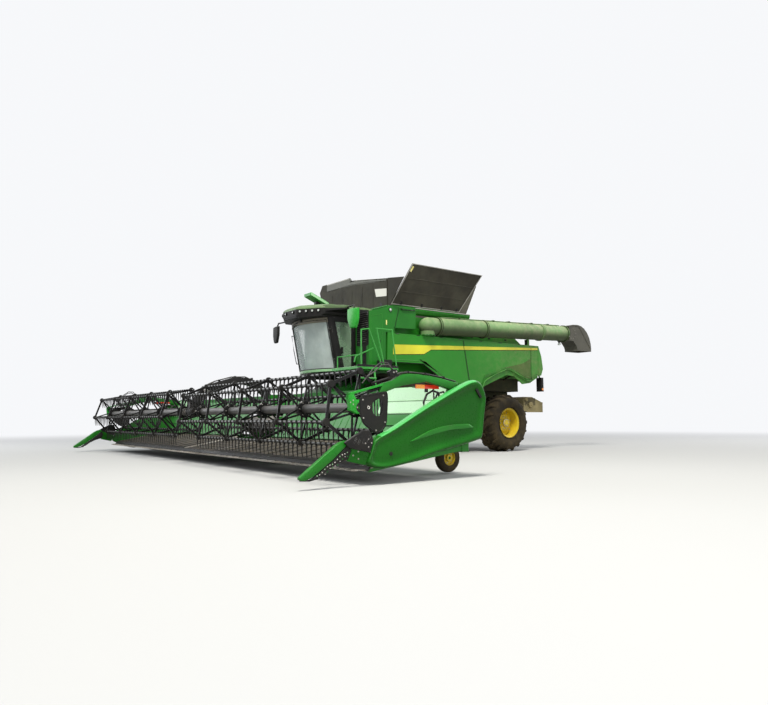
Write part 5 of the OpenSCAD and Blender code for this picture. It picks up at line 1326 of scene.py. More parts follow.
def seat():
    """Sprung operator's seat with sewn cushions."""
    base = Build("seat_base")
    for z, w in ((2.2, 0.17), (2.24, 0.155), (2.28, 0.17), (2.32, 0.155), (2.36, 0.17)):
        base.box(-w, w, -1.05 + (0.17 - w), -0.75 - (0.17 - w), z, z + 0.034, "black_moulded")
    base.box(-0.2, 0.2, -1.1, -0.7, 2.4, 2.425, "black_paint")
    # Armrest consoles with controls
    base.prism([(-1.24, 2.66), (-1.15, 2.715), (-0.8, 2.715), (-0.71, 2.66), (-0.8, 2.64),
        (-1.2, 2.64)], "x", -0.415, -0.275, "black_moulded")
    base.prism([(-1.14, 2.65), (-1.1, 2.695), (-0.76, 2.695), (-0.71, 2.66), (-0.76, 2.645)], "x",
        0.275, 0.355, "black_moulded")
    base.tube([(-0.345, -1.2, 2.71), (-0.345, -1.21, 2.78), (-0.33, -1.22, 2.84)], 0.018, "black_gloss", 12)
    base.lathe((-0.33, -1.225, 2.83), (0, -0.1, 1), [(0.0, -0.01), (0.028, 0.0), (0.03, 0.03),
        (0.018, 0.055), (0, 0.058)], "black_moulded", 16)
    for x0, x1 in ((0.262, 0.288), (-0.298, -0.262)):
        base.box(x0, x1, -0.8, -0.74, 2.5, 2.65, "black_paint")
    for i, mat in enumerate(("amber", "liner_grey", "liner_grey", "liner_grey")):
        base.box(-0.4 + 0.03 * i, -0.385 + 0.03 * i, -1.08, -1.05, 2.714, 2.722, mat)
    base.done("chassis", bevel=0.005)

    upright = math.radians(82)
    bottom = cushion("seat_cushion", (0, -0.915, 2.485), (0.51, 0.5, 0.12), 0.0, (-0.45, 0.0, 0.45))
    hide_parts("operator_seat")
    cushion("seat_backrest", (0, -0.66, 2.875), (0.49, 0.6, 0.11), upright, (-0.4, 0.0, 0.4))
    cushion("seat_headrest", (0, -0.6, 3.135), (0.26, 0.11, 0.075), upright, ())


def steering():
    """Column, wheel and display."""
    b = Build("steering_column")
    lean = math.radians(30)
    centre = Vector((0, -1.47, 2.8))
    axis = Vector((0, -math.sin(lean), math.cos(lean)))
    b.prism([(-1.64, 2.18), (-1.5, 2.18), (-1.465, 2.7), (-1.445, 2.76), (-1.5, 2.79), (-1.53, 2.7)],
        "x", -0.05, 0.05, "black_moulded")
    u, w = Vector(X), axis.cross(Vector(X))

    def spoke(a):
        return u * math.cos(a) + w * math.sin(a)
    b.tube([centre + spoke(2 * math.pi * i / 40) * 0.19 for i in range(40)], 0.016, "black_moulded", 10,
        True, up=axis)
    for a in (90, 210, 330):
        d = spoke(math.radians(a))
        b.sweep([centre + d * 0.03, centre + d * 0.185], section(0.014, 0.006, 0.006, 0.01),
            "black_moulded", up=axis)
    b.lathe(centre, axis, [(0.0, -0.03), (0.045, -0.03), (0.05, 0.0), (0.04, 0.014), (0, 0.018)],
        "black_moulded", 24)
    for place, mat in (((-0.474, -0.426, -1.305, -1.055, 2.755, 2.995), "black_moulded"),
            ((-0.4262, -0.4242, -1.285, -1.075, 2.775, 2.975), "display"),
            ((-0.46, -0.44, -1.23, -1.19, 2.7, 2.76), "black_paint"),
            ((-0.46, -0.42, -1.23, -1.19, 2.69, 2.715), "black_paint")):
        b.box(*place, mat)
    b.done("chassis", ("steering_console",), bevel=0.004)


cab_details()
roof_details()
mirrors()
door_details()
seat()
steering()


# End shields
SHIELD_TOP = [(-4.73, 0.67), (-4.35, 0.83), (-3.95, 1.04), (-3.44, 1.29), (-2.76, 1.59), (-2.6, 1.618),
    (-2.5, 1.59), (-2.42, 1.49), (-2.375, 1.38), (-2.36, 1.3), (-2.38, 1.2), (-2.43, 0.9),
    (-2.47, 0.63)]
SHIELD_LOW = [(-2.54, 0.61), (-2.9, 0.53), (-3.56, 0.42), (-4.01, 0.3), (-4.57, 0.23), (-4.87, 0.3),
    (-4.79, 0.48)]

SPINE = (Vector((-4.5, 0.47)), Vector((-2.78, 1.1)))


def toward_spine(pts, f, least=0.0):
    """Each point moved to its nearest place on the inner spine by the fraction f."""
    a, b = SPINE
    ab = b - a
    out = []
    for y, z in pts:
        p = Vector((y, z))
        k = max(0.0, min(1.0, (p - a).dot(ab) / ab.dot(ab)))
        to = a + ab * k - p
        step = min(to.length * 0.98, max(to.length * f, least))
        p = p + to.normalized() * step
        out.append((p.x, p.y))
    return out


def about_middle(pts, k):
    cy = sum(p[0] for p in pts) / len(pts)
    cz = sum(p[1] for p in pts) / len(pts)
    return [(cy + (y - cy) * k, cz + (z - cz) * k) for y, z in pts]


def rounded_plate(b, pts, x0, x1, mat, roll, s=1):
    """A plate from x0 to x1, on side s, with rolled edges on both faces."""
    rows = ((roll, x0), (roll * 0.3, x0 + roll * 0.3), (0.0, x0 + roll), (0.0, x1 - roll),
            (roll * 0.3, x1 - roll * 0.3), (roll, x1))
    b.loft([at_x(s * x, *shrunk(pts, inset)) for inset, x in rows], mat)


def end_shield(side):
    w = "left" if side > 0 else "right"
    b = Build("end_shield_moulding_" + w)
    line = round_line(SHIELD_TOP + SHIELD_LOW, 2)
    # Broad rolled rim that falls away into the long dished middle
    prof = [(0.0, 6.764), (0.0, 6.8), (0.01, 6.835), (0.035, 6.861), (0.075, 6.877), (0.125, 6.881),
        (0.18, 6.875), (0.24, 6.863), (0.31, 6.851), (0.42, 6.846), (0.6, 6.848), (0.86, 6.851)]
    rings = [[(side * x, y, z) for y, z in toward_spine(line, f)] for f, x in prof]
    # The upper edge catches the light
    # Painted highlight: the upper edge is in the bright rim green, with its down faces in painted shade
    upper = sum(y < -2.62 for y, z in line[:len(SHIELD_TOP) * 4]) + 1
    b.loft([r[:upper] for r in rings[:5]], "green_rim", closed=False, caps=False)
    b.loft([r[upper - 1:] + r[:1] for r in rings[:5]], "green_shield", closed=False, caps=False)
    b.loft(rings[4:], "green_shield", caps=False)
    b.add(rings[0] + rings[-1], [list(range(len(line)))[::-1], list(range(len(line), 2 * len(line)))],
        "green_shield")
    # Raised arrow moulding, pointing forward, in the plain green that is lighter than the shaded shield
    # round it: a painted highlight
    arrow = [(-4.1, 0.6), (-3.8, 0.675), (-3.52, 0.735), (-3.18, 0.795), (-2.66, 0.815), (-2.72, 0.85),
        (-2.78, 0.885), (-3.26, 0.865), (-3.6, 0.8), (-3.86, 0.7)]
    al = round_line(arrow, 1)
    b.loft([[(side * x, y, z) for y, z in about_middle(al, k)] for k, x in ((1.0, 6.838),
        (0.985, 6.866), (0.93, 6.88), (0.86, 6.881))], "green")
    # Black slot handle and service latch
    b.sweep(at_x(side * 6.862, (-2.605, 1.455), (-2.5, 1.315)), section(0.022, 0.012, 0.018),
        "black_moulded", up=(side, 0, 0))
    b.lathe((side * 6.846, -4.4, 0.45), (side, 0, 0), cap(0.03, 0.014, 0.016), "black_moulded", 20)
    # Backing plate with its fold, seen from inside the header
    b.prism([(y, z) for y, z in toward_spine(line, 0.0, 0.03)], "x", side * 6.7605, side * 6.766, "green")
    b.done("feeder_and_header", ("end_shield_" + w,), bevel=0.0, angle=40)


def crop_divider(side):
    w = "left" if side > 0 else "right"
    d = Build("crop_divider_" + w)
    bar = [(-5.95, 0.15), (-5.953, 0.18), (-5.8, 0.293), (-5.6, 0.436), (-5.385, 0.594), (-5.3, 0.64),
        (-5.2, 0.664), (-5.16, 0.625), (-5.3, 0.5), (-5.44, 0.385), (-5.6, 0.275), (-5.745, 0.18),
        (-5.86, 0.136), (-5.92, 0.135)]
    rounded_plate(d, bar, 6.768, 6.846, "green_bar", 0.008, side)
    # Pierced black part with bright studs, which paint the light seen through its holes
    pierced = [(-5.745, 0.155), (-5.6, 0.262), (-5.44, 0.372), (-5.3, 0.486), (-5.165, 0.606),
               (-5.11, 0.52), (-5.165, 0.4), (-5.35, 0.345), (-5.51, 0.262), (-5.62, 0.18)]
    rounded_plate(d, pierced, 6.79, 6.842, "black_moulded", 0.004, side)
    for i in range(13):
        f = i / 12
        y, z = -5.68 + 0.5 * f, 0.192 + 0.318 * f + 0.014 * math.sin(5.1 * i)
        d.lathe((side * 6.84, y, z), (side, 0, 0), stud(0.0085, 0.004, 0.006),
            "white_plate" if i % 3 else "green_pale", 8)
        if 1 < i < 12:
            d.lathe((side * 6.84, y + 0.045, z - 0.028 - 0.01 * (i % 2)), (side, 0, 0),
                stud(0.0065, 0.004, 0.006), "green_bright" if i % 2 else "white_plate", 8)
        d.sweep(at_x(side * 6.843, (y - 0.012, z + 0.02), (y + 0.022, z + 0.044)),
            section(0.004, 0.002, 0.003), "black_gloss", up=(side, 0, 0))
    # Nose shoe and the green plate that joins the shield
    d.loft([[(side * (6.815 + sx * half), y, z + dz) for sx, dz in ((-1, 0), (1, 0), (1, 0.02),
        (-1, 0.02))] for y, z, half in ((-5.94, 0.13, 0.01), (-5.8, 0.122, 0.026),
        (-5.66, 0.15, 0.03))], "black_moulded")
    d.prism([(-5.165, 0.4), (-5.108, 0.52), (-5.16, 0.612), (-4.79, 0.478), (-4.87, 0.302),
        (-5.18, 0.372)], "x", side * 6.812, side * 6.846, "green_shield")
    d.bolts((side * 6.846, -5.02, 0.45), (side, 0, 0), 0.06, 3, 0.014, 0.004)
    d.done("feeder_and_header", angle=45)


def divider_plates():
    b = Build("divider_side_plates", True)
    out = [(-5.25, 0.64), (-5.1, 0.726), (-4.93, 0.808), (-4.86, 0.812), (-4.8, 0.8), (-4.73, 0.67),
        (-4.79, 0.48), (-4.98, 0.52), (-5.17, 0.56)]
    b.loft([[(x, y, z) for y, z in shrunk(out, d)] for d, x in ((0.0, 6.851), (0.0, 6.866),
        (0.01, 6.876), (0.022, 6.878))], "black_paint")
    # Pressed ribs and bolts
    for i in range(4):
        y = -5.1 + 0.085 * i
        b.sweep(at_x(6.877, (y, 0.6 + 0.01 * i), (y + 0.055, 0.7 + 0.018 * i)),
            section(0.012, 0.002, 0.003, 0.006), "black_gloss", up=X)
    b.bolts((6.877, -4.83, 0.62), X, 0.055, 4, 0.012, 0.003)
    b.done("feeder_and_header", ("divider_plates",))


for side in (1, -1):
    end_shield(side)
    crop_divider(side)
divider_plates()


# Reel arms
def end_arms():
    b = Build("reel_end_arms", True)
    arm = [(-2.882, 1.455), (-2.892, 1.558), (-3.26, 1.622), (-3.52, 1.655), (-3.77, 1.674),
        (-3.95, 1.672), (-4.06, 1.66), (-4.16, 1.615), (-4.26, 1.56), (-4.45, 1.512), (-4.5, 1.405),
        (-4.54, 1.34), (-4.52, 1.325), (-4.36, 1.393), (-4.22, 1.44), (-4.08, 1.482), (-3.82, 1.525),
        (-3.58, 1.558), (-3.3, 1.505), (-3.03, 1.442)]
    rounded_plate(b, arm, 6.636, 6.734, "green", 0.007)
    # Pivot boss and its pin
    b.lathe((6.634, -2.95, 1.5), X, collar(0.03, 0.052, 0.101), "green", 28, closed=True)
    # Slide bar whose bright top edge is a painted highlight in the lighter green, and the cylinder that
    # pushes the carriage along it
    b.beam((6.69, -4.18, 1.56), (6.69, -5.055, 1.338), 0.082, 0.03, "green_bright")
    b.beam((6.672, -4.4, 1.462), (6.672, -4.985, 1.285), 0.046, 0.02, "black_gloss")
    b.tube(at_x(6.66, (-4.96, 1.3), (-4.66, 1.388)), 0.016, "chrome_rod", 14)
    b.tube(at_x(6.66, (-4.68, 1.382), (-4.26, 1.505)), 0.027, "black_paint", 18)
    b.lathe((6.638, -4.975, 1.296), X, stud(0.03, 0.044, 0.044), "black_paint", 18)
    # Dark slide and valve block above the arm's end
    b.beam((6.685, -4.12, 1.652), (6.685, -4.62, 1.512), 0.07, 0.022, "black_moulded")
    b.prism([(-4.3, 1.625), (-4.17, 1.662), (-4.17, 1.735), (-4.27, 1.728), (-4.33, 1.69)], "x", 6.652,
        6.724, "black_gloss")
    for y, z in ((-4.19, 1.7), (-4.24, 1.686)):
        b.lathe((6.722, y, z), X, stud(0.014, 0.01, 0.012), "worn_steel", 6)
    b.tube([(6.7, -4.24, 1.73), (6.705, -4.33, 1.8), (6.7, -4.45, 1.79), (6.7, -4.58, 1.69),
        (6.7, -4.74, 1.6)], 0.011, "hose", 8)
    b.tube([(6.66, -4.22, 1.73), (6.655, -4.3, 1.83), (6.66, -4.44, 1.835), (6.665, -4.6, 1.72),
        (6.67, -4.8, 1.5)], 0.011, "hose", 8)
    # Green carriage of the shaft: tall plate with a shelf, in the lighter green that paints light on it
    plate = [(-5.078, 1.322), (-4.985, 1.336), (-4.945, 1.255), (-4.81, 1.262), (-4.79, 1.228),
        (-4.812, 1.052), (-4.925, 1.046), (-5.05, 1.098)]
    rounded_plate(b, plate, 6.644, 6.736, "green_bright", 0.006)
    b.lathe((6.6355, REEL_Y, REEL_Z), X, collar(0.042, 0.08, 0.104), "black_moulded", 32, closed=True)
    b.bolts((6.7395, REEL_Y, REEL_Z), X, 0.064, 4, 0.012, 0.004)
    b.bolts((6.736, -5.02, 1.215), X, 0.034, 3, 0.011, 0.005)
    # Hoses along the arm's top, with clamps
    for dx, dz in ((-0.03, 0.0), (0.0, 0.004), (0.03, 0.0)):
        b.tube([(6.685 + dx, -2.93, 1.58), (6.685 + dx, -3.25, 1.645 + dz),
            (6.685 + dx, -3.55, 1.683 + dz), (6.685 + dx, -3.85, 1.7 + dz),
            (6.685 + dx, -4.06, 1.688 + dz), (6.685 + dx * 0.5, -4.2, 1.652)], 0.011, "hose", 8)
    for y, z in ((-3.2, 1.634), (-3.6, 1.678), (-3.95, 1.692)):
        b.box(6.64, 6.73, y - 0.014, y + 0.014, z - 0.01, z + 0.026, "black_paint")
    b.done("reel_arms", ("reel_arms",), bevel=0.002)


def end_plates():
    """Dark bearing plate at the end of the reel, with its long hole."""
    e = Build("reel_end_plates", True)
    out = [(-4.895, 1.312), (-4.62, 1.358), (-4.395, 1.396), (-4.362, 1.33), (-4.374, 1.1),
        (-4.392, 0.885), (-4.46, 0.8), (-4.552, 0.734), (-4.638, 0.764), (-4.74, 0.832),
        (-4.838, 0.902), (-4.872, 0.98), (-4.897, 1.06), (-4.9, 1.19)]
    out = round_line(out, 1)
    cy, cz, hr, straight = -4.56, 1.145, 0.1, 0.035
    hole = []
    for y, z in out:
        a = math.atan2(z - cz, y - cy)
        py, pz = math.cos(a), math.sin(a)
        k = min(hr / abs(py) if abs(py) > 1e-6 else 9, (straight + hr) / abs(pz)
            if abs(pz) > 1e-6 else 9)
        hy, hz = py * k, pz * k
        over = max(-straight, min(straight, hz))
        v = Vector((hy, hz - over))
        if v.length > hr:
            v = v.normalized() * hr
        hole.append((cy + v.x, cz + over + v.y))
    rings = [[(x, y, z) for y, z in pts] for pts, x in ((out, 6.737), (shrunk(out, 0.004), 6.746),
        (hole, 6.746), (hole, 6.737))]
    rings.append(rings[0])
    e.loft(rings, "black_moulded", caps=False)
    # Pressed edge, bolts and the white ring of the bearing's cap
    lip = shrunk(out, 0.022)
    e.sweep([(6.746, y, z) for y, z in lip], section(0.006, 0.001, 0.004, 0.003), "black_gloss",
        closed=True, up=X)
    e.lathe((6.7455, -4.735, 1.14), X, [(0.013, 0), (0.024, 0), (0.024, 0.006), (0.019, 0.0085),
        (0.013, 0.006)], "white_plate", 28, closed=True)
    e.lathe((6.7455, -4.735, 1.14), X, stud(0.012, 0.003, 0.004), "black_gloss", 20)
    for y, z in ((-4.46, 1.325), (-4.84, 1.255), (-4.83, 0.985), (-4.6, 0.8), (-4.43, 0.92)):
        e.lathe((6.7455, y, z), X, stud(0.013, 0.006, 0.008), "worn_steel", 6)
    # Two pipes that show through the long hole
    for y in (-4.585, -4.535):
        e.tube(at_x(6.7, (y, 1.36), (y - 0.006, 1.16), (y + 0.006, 0.98)), 0.01, "hose", 8)
    e.done("reel_arms")


def centre_arm():
    c = Build("reel_centre_arm_plates")
    body = [(-2.885, 1.445), (-2.905, 1.565), (-3.06, 1.705), (-3.22, 1.838), (-3.38, 1.915),
        (-3.54, 1.957), (-3.74, 1.966), (-3.93, 1.957), (-4.28, 1.85), (-4.64, 1.737), (-4.8, 1.555),
        (-4.957, 1.372), (-4.972, 1.22), (-4.976, 1.082), (-4.92, 1.034), (-4.81, 1.034),
        (-4.755, 1.14), (-4.66, 1.32), (-4.562, 1.5), (-4.42, 1.61), (-4.16, 1.705), (-3.9, 1.798),
        (-3.72, 1.805), (-3.56, 1.788), (-3.4, 1.735), (-3.25, 1.648), (-3.14, 1.545), (-3.06, 1.452)]
    rounded_plate(c, body, -0.0585, 0.0585, "black_paint", 0.006)
    c.lathe((-0.189, REEL_Y, REEL_Z), X, [(0.044, 0), (0.105, 0), (0.11, 0.008), (0.11, 0.37),
        (0.105, 0.378), (0.044, 0.378)], "black_moulded", 40, closed=True)
    for x in (-0.12, 0.12):
        c.lathe((x, REEL_Y, REEL_Z), X, [(0.109, -0.015), (0.122, -0.01), (0.122, 0.01),
            (0.109, 0.015)], "black_gloss", 40)
    # Drive chain case down the side and the hydraulic motor
    c.prism([(-4.91, 1.12), (-4.84, 1.12), (-4.585, 1.6), (-4.625, 1.68), (-4.69, 1.66)], "x", 0.055,
        0.075, "black_moulded")
    c.lathe((0.058, -4.6, 1.64), X, [(0.0, 0), (0.06, 0), (0.06, 0.05), (0.045, 0.055), (0.045, 0.125),
        (0, 0.128)], "worn_steel", 24)
    c.tube([(-0.01, -3.02, 1.6), (-0.01, -3.3, 1.89), (-0.01, -3.6, 1.985), (-0.01, -3.95, 1.972),
        (-0.01, -4.35, 1.862), (0.05, -4.54, 1.785), (0.12, -4.6, 1.7)], 0.013, "hose", 8)
    c.tube([(0.025, -3.02, 1.58), (0.025, -3.3, 1.875), (0.025, -3.6, 1.985), (0.025, -3.95, 1.972),
        (0.025, -4.35, 1.862), (0.08, -4.54, 1.77), (0.14, -4.58, 1.66)], 0.013, "hose", 8)
    for y, z in ((-3.42, 1.955), (-3.86, 1.985), (-4.25, 1.89)):
        c.box(-0.03, 0.05, y - 0.016, y + 0.016, z - 0.03, z + 0.012, "black_moulded")
    c.bolts((0.059, -2.95, 1.5), X, 0.046, 6, 0.012, 0.004)
    c.done("reel_arms", ("reel_centre_arm",), bevel=0.003)


end_arms()
end_plates()
centre_arm()


# Feeder house and lift
def feeder_details():
    b = Build("feeder_fittings", True)
    x = 0.7505
    # Side ribs and drive guard
    for start, end in ((1.22, 1.9), (0.64, 1.5)):
        b.sweep([(x, -2.46, start), (x, -0.75, end)], section(0.02, 0.004, 0.012, 0.014), "green", up=X)
    for y in (-2.3, -1.8, -1.3):
        f = (y + 2.46) / 1.71
        b.sweep([(x, y, 0.66 + 0.86 * f), (x, y, 1.2 + 0.68 * f)], section(0.018, 0.004, 0.01, 0.012),
            "green", up=X)
    b.both = False
    guard = round_line([(-2.42, 0.72), (-2.42, 1.0), (-2.2, 1.1), (-0.8, 1.8), (-0.55, 1.78),
        (-0.5, 1.6), (-0.66, 1.48), (-2.2, 0.7)], 1)
    b.loft([[(-xx, y, z) for y, z in shrunk(guard, d)] for d, xx in ((0.0, 0.752), (0.0, 0.846),
        (0.016, 0.868), (0.05, 0.872))], "green_shield")
    for y, z in ((-2.15, 0.92), (-1.4, 1.28), (-0.75, 1.62)):
        b.lathe((-0.873, y, z), (-1, 0, 0), cap(0.03, 0.006, 0.008), "black_moulded", 16)
    # Header drive shaft on the left side
    b.tube([(0.8, -0.5, 1.55), (0.83, -1.2, 1.22), (0.86, -2.35, 0.8)], 0.055, "black_moulded", 20)
    b.lathe((0.86, -2.36, 0.8), (0.04, -0.94, -0.34), [(0.0, 0.0), (0.075, 0), (0.075, 0.09),
        (0.03, 0.1), (0.03, 0.16), (0, 0.16)], "worn_steel", 24)
    b.both = True
    # Multi-coupler
    b.box(0.86, 0.99, -2.66, -2.612, 0.93, 1.18, "black_paint")
    for i in range(4):
        b.lathe((0.89 + 0.032 * (i % 2) * 2, -2.665, 1.0 + 0.11 * (i // 2)), (0, -1, 0), [(0.018, 0),
            (0.018, 0.03), (0.01, 0.035), (0, 0.036)], "worn_steel", 12)
    b.done("feeder_and_header", bevel=0.002)


def lift_cylinders():
    """Rods and barrels of the two header lift cylinders."""
    r = Build("lift_cylinder_rods", True)
    foot, head = Vector((0.56, -0.25, 0.79)), Vector((0.56, -2.1, 0.56))
    d = (head - foot).normalized()
    length = (head - foot).length
    r.tube([foot + d * 1.262, foot + d * (length - 0.045)], 0.0352, "chrome_rod", 28)
    r.lathe(head - Vector((0.034, 0, 0)), X, collar(0.0305, 0.05, 0.068), "black_paint", 32, closed=True)
    r.lathe(foot + d * (length - 0.075), d, [(0.036, -0.01), (0.048, 0.0), (0.048, 0.035),
        (0.036, 0.04)], "black_paint", 24)
    r.done("lift_rods", ("lift_rods",))
    c = Build("lift_cylinder_barrels", True)
    c.lathe(foot + d * 0.075, d, [(0, 0), (0.05, 0), (0.055, 0.006), (0.055, 1.12), (0.062, 1.125),
        (0.062, 1.165), (0.052, 1.175), (0.037, 1.1751)], "black_paint", 36)
    c.lathe(foot - Vector((0.039, 0, 0)), X, collar(0.0305, 0.05, 0.078), "black_paint", 32, closed=True)
    c.tube([foot + d * 0.14 + Vector((0, 0.01, 0.055)), foot + d * 0.14 + Vector((0, 0.0, 0.085)),
        foot + d * 0.6 + Vector((0, 0, 0.075)), foot + d * 1.1 + Vector((0, 0, 0.075)),
        foot + d * 1.16 + Vector((0, 0, 0.058))], 0.01, "hose", 8)
    c.box(0.525, 0.595, -0.71, -0.68, 0.765, 0.83, "worn_steel")
    c.done("lift_barrels", ("lift_barrels",), bevel=0.003)


def drum():
    b = Build("feed_drum_fingers")
    y0, z0 = -3.06, 0.84
    b.lathe((-0.84, y0, z0), X, [(0.0306, 0), (0.149, 0), (0.15, 0.004), (0.15, 1.676), (0.149, 1.68),
        (0.0306, 1.68)], "shaft_grey", 56, closed=True)
    for i in range(16):
        a = math.radians(i * 67)
        x = -0.76 + 0.1 * i
        dy, dz = -math.sin(a), math.cos(a)
        b.tube([(x, y0 + dy * 0.13, z0 + dz * 0.13), (x, y0 + dy * 0.209, z0 + dz * 0.209)], 0.0095,
            "worn_steel", 10)
        b.lathe((x, y0 + dy * 0.146, z0 + dz * 0.146), (0, dy, dz), [(0.026, 0), (0.024, 0.012),
            (0.012, 0.016)], "black_moulded", 14)
    # Flighting on both ends of the drum
    for s in (1, -1):
        rings = []
        for k in range(49):
            a = 2 * math.pi * 1.5 * k / 48
            x = s * (0.83 - 0.42 * k / 48)
            c, q = math.cos(a * s), math.sin(a * s)
            rings.append([(x - 0.004, y0 + 0.148 * c, z0 + 0.148 * q),
                (x + 0.004, y0 + 0.148 * c, z0 + 0.148 * q),
                (x + 0.004, y0 + 0.205 * c, z0 + 0.205 * q),
                (x - 0.004, y0 + 0.205 * c, z0 + 0.205 * q)])
        b.loft(rings, "worn_steel")
    b.done("feed_drum", ("feed_drum",))


def gauge(side):
    w = "left" if side > 0 else "right"
    b = Build("gauge_wheel_trim_" + w)
    x, y, z = side * 5.99, -2.48, 0.275
    prof = [(0.133, -0.062), (0.15, -0.072), (0.218, -0.074), (0.24, -0.06), (0.25, -0.046),
        (0.2535, -0.028), (0.248, -0.026), (0.248, -0.018), (0.2545, -0.016), (0.2545, 0.016),
        (0.248, 0.018), (0.248, 0.026), (0.2535, 0.028), (0.25, 0.046), (0.24, 0.06), (0.218, 0.074),
        (0.15, 0.072), (0.133, 0.062)]
    b.lathe((x, y, z), X, prof, "tyre", 56)
    b.lathe((x, y, z), X, [(0.0255, -0.06), (0.06, -0.06), (0.065, -0.02), (0.118, -0.015),
        (0.124, -0.055), (0.133, -0.058), (0.133, 0.058), (0.124, 0.055), (0.118, 0.015), (0.065, 0.02),
        (0.06, 0.06), (0.0255, 0.06)], "yellow", 48, closed=True)
    b.bolts((x + 0.017, y, z), X, 0.09, 5, 0.012, 0.01)
    b.bolts((x - 0.027, y, z), X, 0.09, 5, 0.012, 0.01)
    b.done("gauge_wheel_" + w, ("gauge_wheel_" + w,))


feeder_details()
lift_cylinders()
drum()
for side in (1, -1):
    gauge(side)


# Platform, deck and rear
def platform_details():
    b = Build("platform_fittings")
    # Grip surface: raised bars and edge
    pitch = 0.0255
    for start, x, count in ((-1.705, 0.98, 26), (-1.025, 1.62, 20)):
        for i in range(count):
            y = start + pitch * i
            b.box(x, 2.06, y, y + 0.009, 2.2, 2.206, "worn_steel")
    b.box(2.066, 2.0805, -1.72, -0.5, 2.19, 2.245, "black_paint")
    # Diagonal bar of the gate
    b.tube(at_x(1.92, (-1.7, 2.3), (-1.66, 2.44), (-1.14, 2.67)), 0.016, "rail_green", 10)
    # Step treads with turned up edges
    for i in range(5):
        f = (i + 0.75) / 5.1
        x, z = 2.04 + 0.2 * f, 2.17 - 1.69 * f
        for k in range(4):
            b.box(x - 0.055 + 0.032 * k, x - 0.043 + 0.032 * k, -1.68, -1.21, z + 0.0152, z + 0.023,
                "worn_steel")
        for y in (-1.66, -1.23):
            b.box(x - 0.05, x + 0.05, y - 0.02, y + 0.02, z - 0.024, z - 0.015, "black_paint")
    # Tool box and handrail feet
    b.box(1.66, 1.96, -0.84, -0.6, 2.205, 2.4, "black_moulded")
    b.box(1.67, 1.95, -0.848, -0.84, 2.225, 2.38, "black_paint")
    for y0, z0, y1, z1 in ((-1.59, 3.07, -1.59, 2.2), (-1.37, 3.11, -0.96, 2.2),
            (-1.14, 3.13, -0.9, 2.2), (-0.67, 3.13, -0.53, 2.2)):
        b.lathe((2.05, y1, 2.2), (0, y0 - y1, z0 - z1), [(0.019, 0), (0.032, 0), (0.03, 0.02),
            (0.019, 0.03)], "rail_green", 16)
    b.done("chassis", bevel=0.002)


def tower_details():
    b = Build("tower_fittings", True)
    x = 1.5855
    # Handrail, seam, louvred front in black that also paints the shade between cab and tower, shoulder lamp
    # and a yellow mark that glows, painted light
    b.tube([(x + 0.012, -0.02, 3.79), (x + 0.026, 0.02, 3.76), (x + 0.026, 0.4, 3.77),
        (x + 0.012, 0.44, 3.8)], 0.014, "black_paint", 10)
    b.sweep(at_x(1.586, (-0.075, 3.8), (-0.215, 3.29)), section(0.006, 0.002), "black_moulded", up=X)
    b.prism([(1.055, 3.745), (1.575, 3.66), (1.575, 2.8), (1.475, 2.76), (1.475, 2.24), (1.32, 2.24),
        (1.32, 2.76), (1.055, 2.8)], "y", -1.0365, -1.0305, "black_moulded")
    for i in range(15):
        z = 2.86 + 0.052 * i
        b.prism([(-1.0365, z), (-1.052, z + 0.01), (-1.052, z + 0.016), (-1.0365, z + 0.03)], "x", 1.09,
            1.545, "black_paint")
    b.lathe((1.588, -0.365, 3.725), X, [(0.045, 0), (0.045, 0.02), (0.038, 0.022)], "black_moulded", 24)
    b.lathe((1.588, -0.365, 3.725), X, [(0.038, 0.012), (0.025, 0.022), (0, 0.024)], "lamp", 24)
    b.box(1.5855, 1.59, -0.5, -0.47, 3.33, 3.45, "pale_yellow")
    # Pressed outline on the side, with its lock
    b.sweep(at_x(1.5855, (-0.97, 2.3), (-0.97, 3.52), (-0.62, 3.6), (-0.62, 2.3)),
        section(0.006, 0.001, 0.003, 0.004), "green_body", closed=True, up=X)
    b.lathe((1.5855, -0.7, 2.9), X, cap(0.028, 0.006, 0.008), "black_moulded", 18)
    b.done("chassis", bevel=0.0015)


def deck_details():
    b = Build("engine_deck_fittings")
    # Louvres of the hood, exhaust, air intake, rails and the small parts at the rear
    for i in range(12):
        y = 3.1 + 0.085 * i
        zz = 3.4585 - 0.0088 * (y - 2.61) * 2
        b.box(-0.35, 0.55, y, y + 0.045, zz - 0.004, zz + 0.01, "black_moulded")
    b.lathe((0.8, 3.3, 3.4), Z, [(0.11, 0), (0.11, 0.06), (0.085, 0.075)], "black_moulded", 32)
    b.lathe((0.8, 3.3, 3.45), Z, [(0.075, 0), (0.075, 0.42), (0.066, 0.42), (0.066, 0.1), (0, 0.1)],
        "worn_steel", 32)
    b.lathe((0.85, 4.3, 3.42), Z, [(0.12, 0), (0.12, 0.1), (0.17, 0.12), (0.17, 0.2), (0.12, 0.24),
        (0, 0.25)], "black_moulded", 36)
    b.tube([(-1.12, 2.9, 3.12), (-1.25, 2.9, 3.12), (-1.25, 2.9, 3.55), (-1.25, 4.9, 3.55),
        (-1.25, 4.9, 3.12)], 0.017, "rail_green", 12)
    b.tube(at_x(-1.25, (2.9, 3.33), (4.9, 3.33)), 0.013, "rail_green", 10)
    b.box(-1.1, 1.1, 4.72, 4.76, 3.405, 3.428, "green_body")
    for s in (1, -1):
        b.box(s * 0.6 - 0.05, s * 0.6 + 0.05, 5.195, 5.215, 3.11, 3.17, "black_moulded")
    # Latches along the side of the hood
    for y in (2.9, 3.6, 4.3):
        b.box(1.15, 1.158, y, y + 0.09, 3.28, 3.32, "black_moulded")
    b.box(-1.158, -1.15, 4.5, 4.59, 3.28, 3.32, "black_moulded")
    b.done("chassis", bevel=0.003)


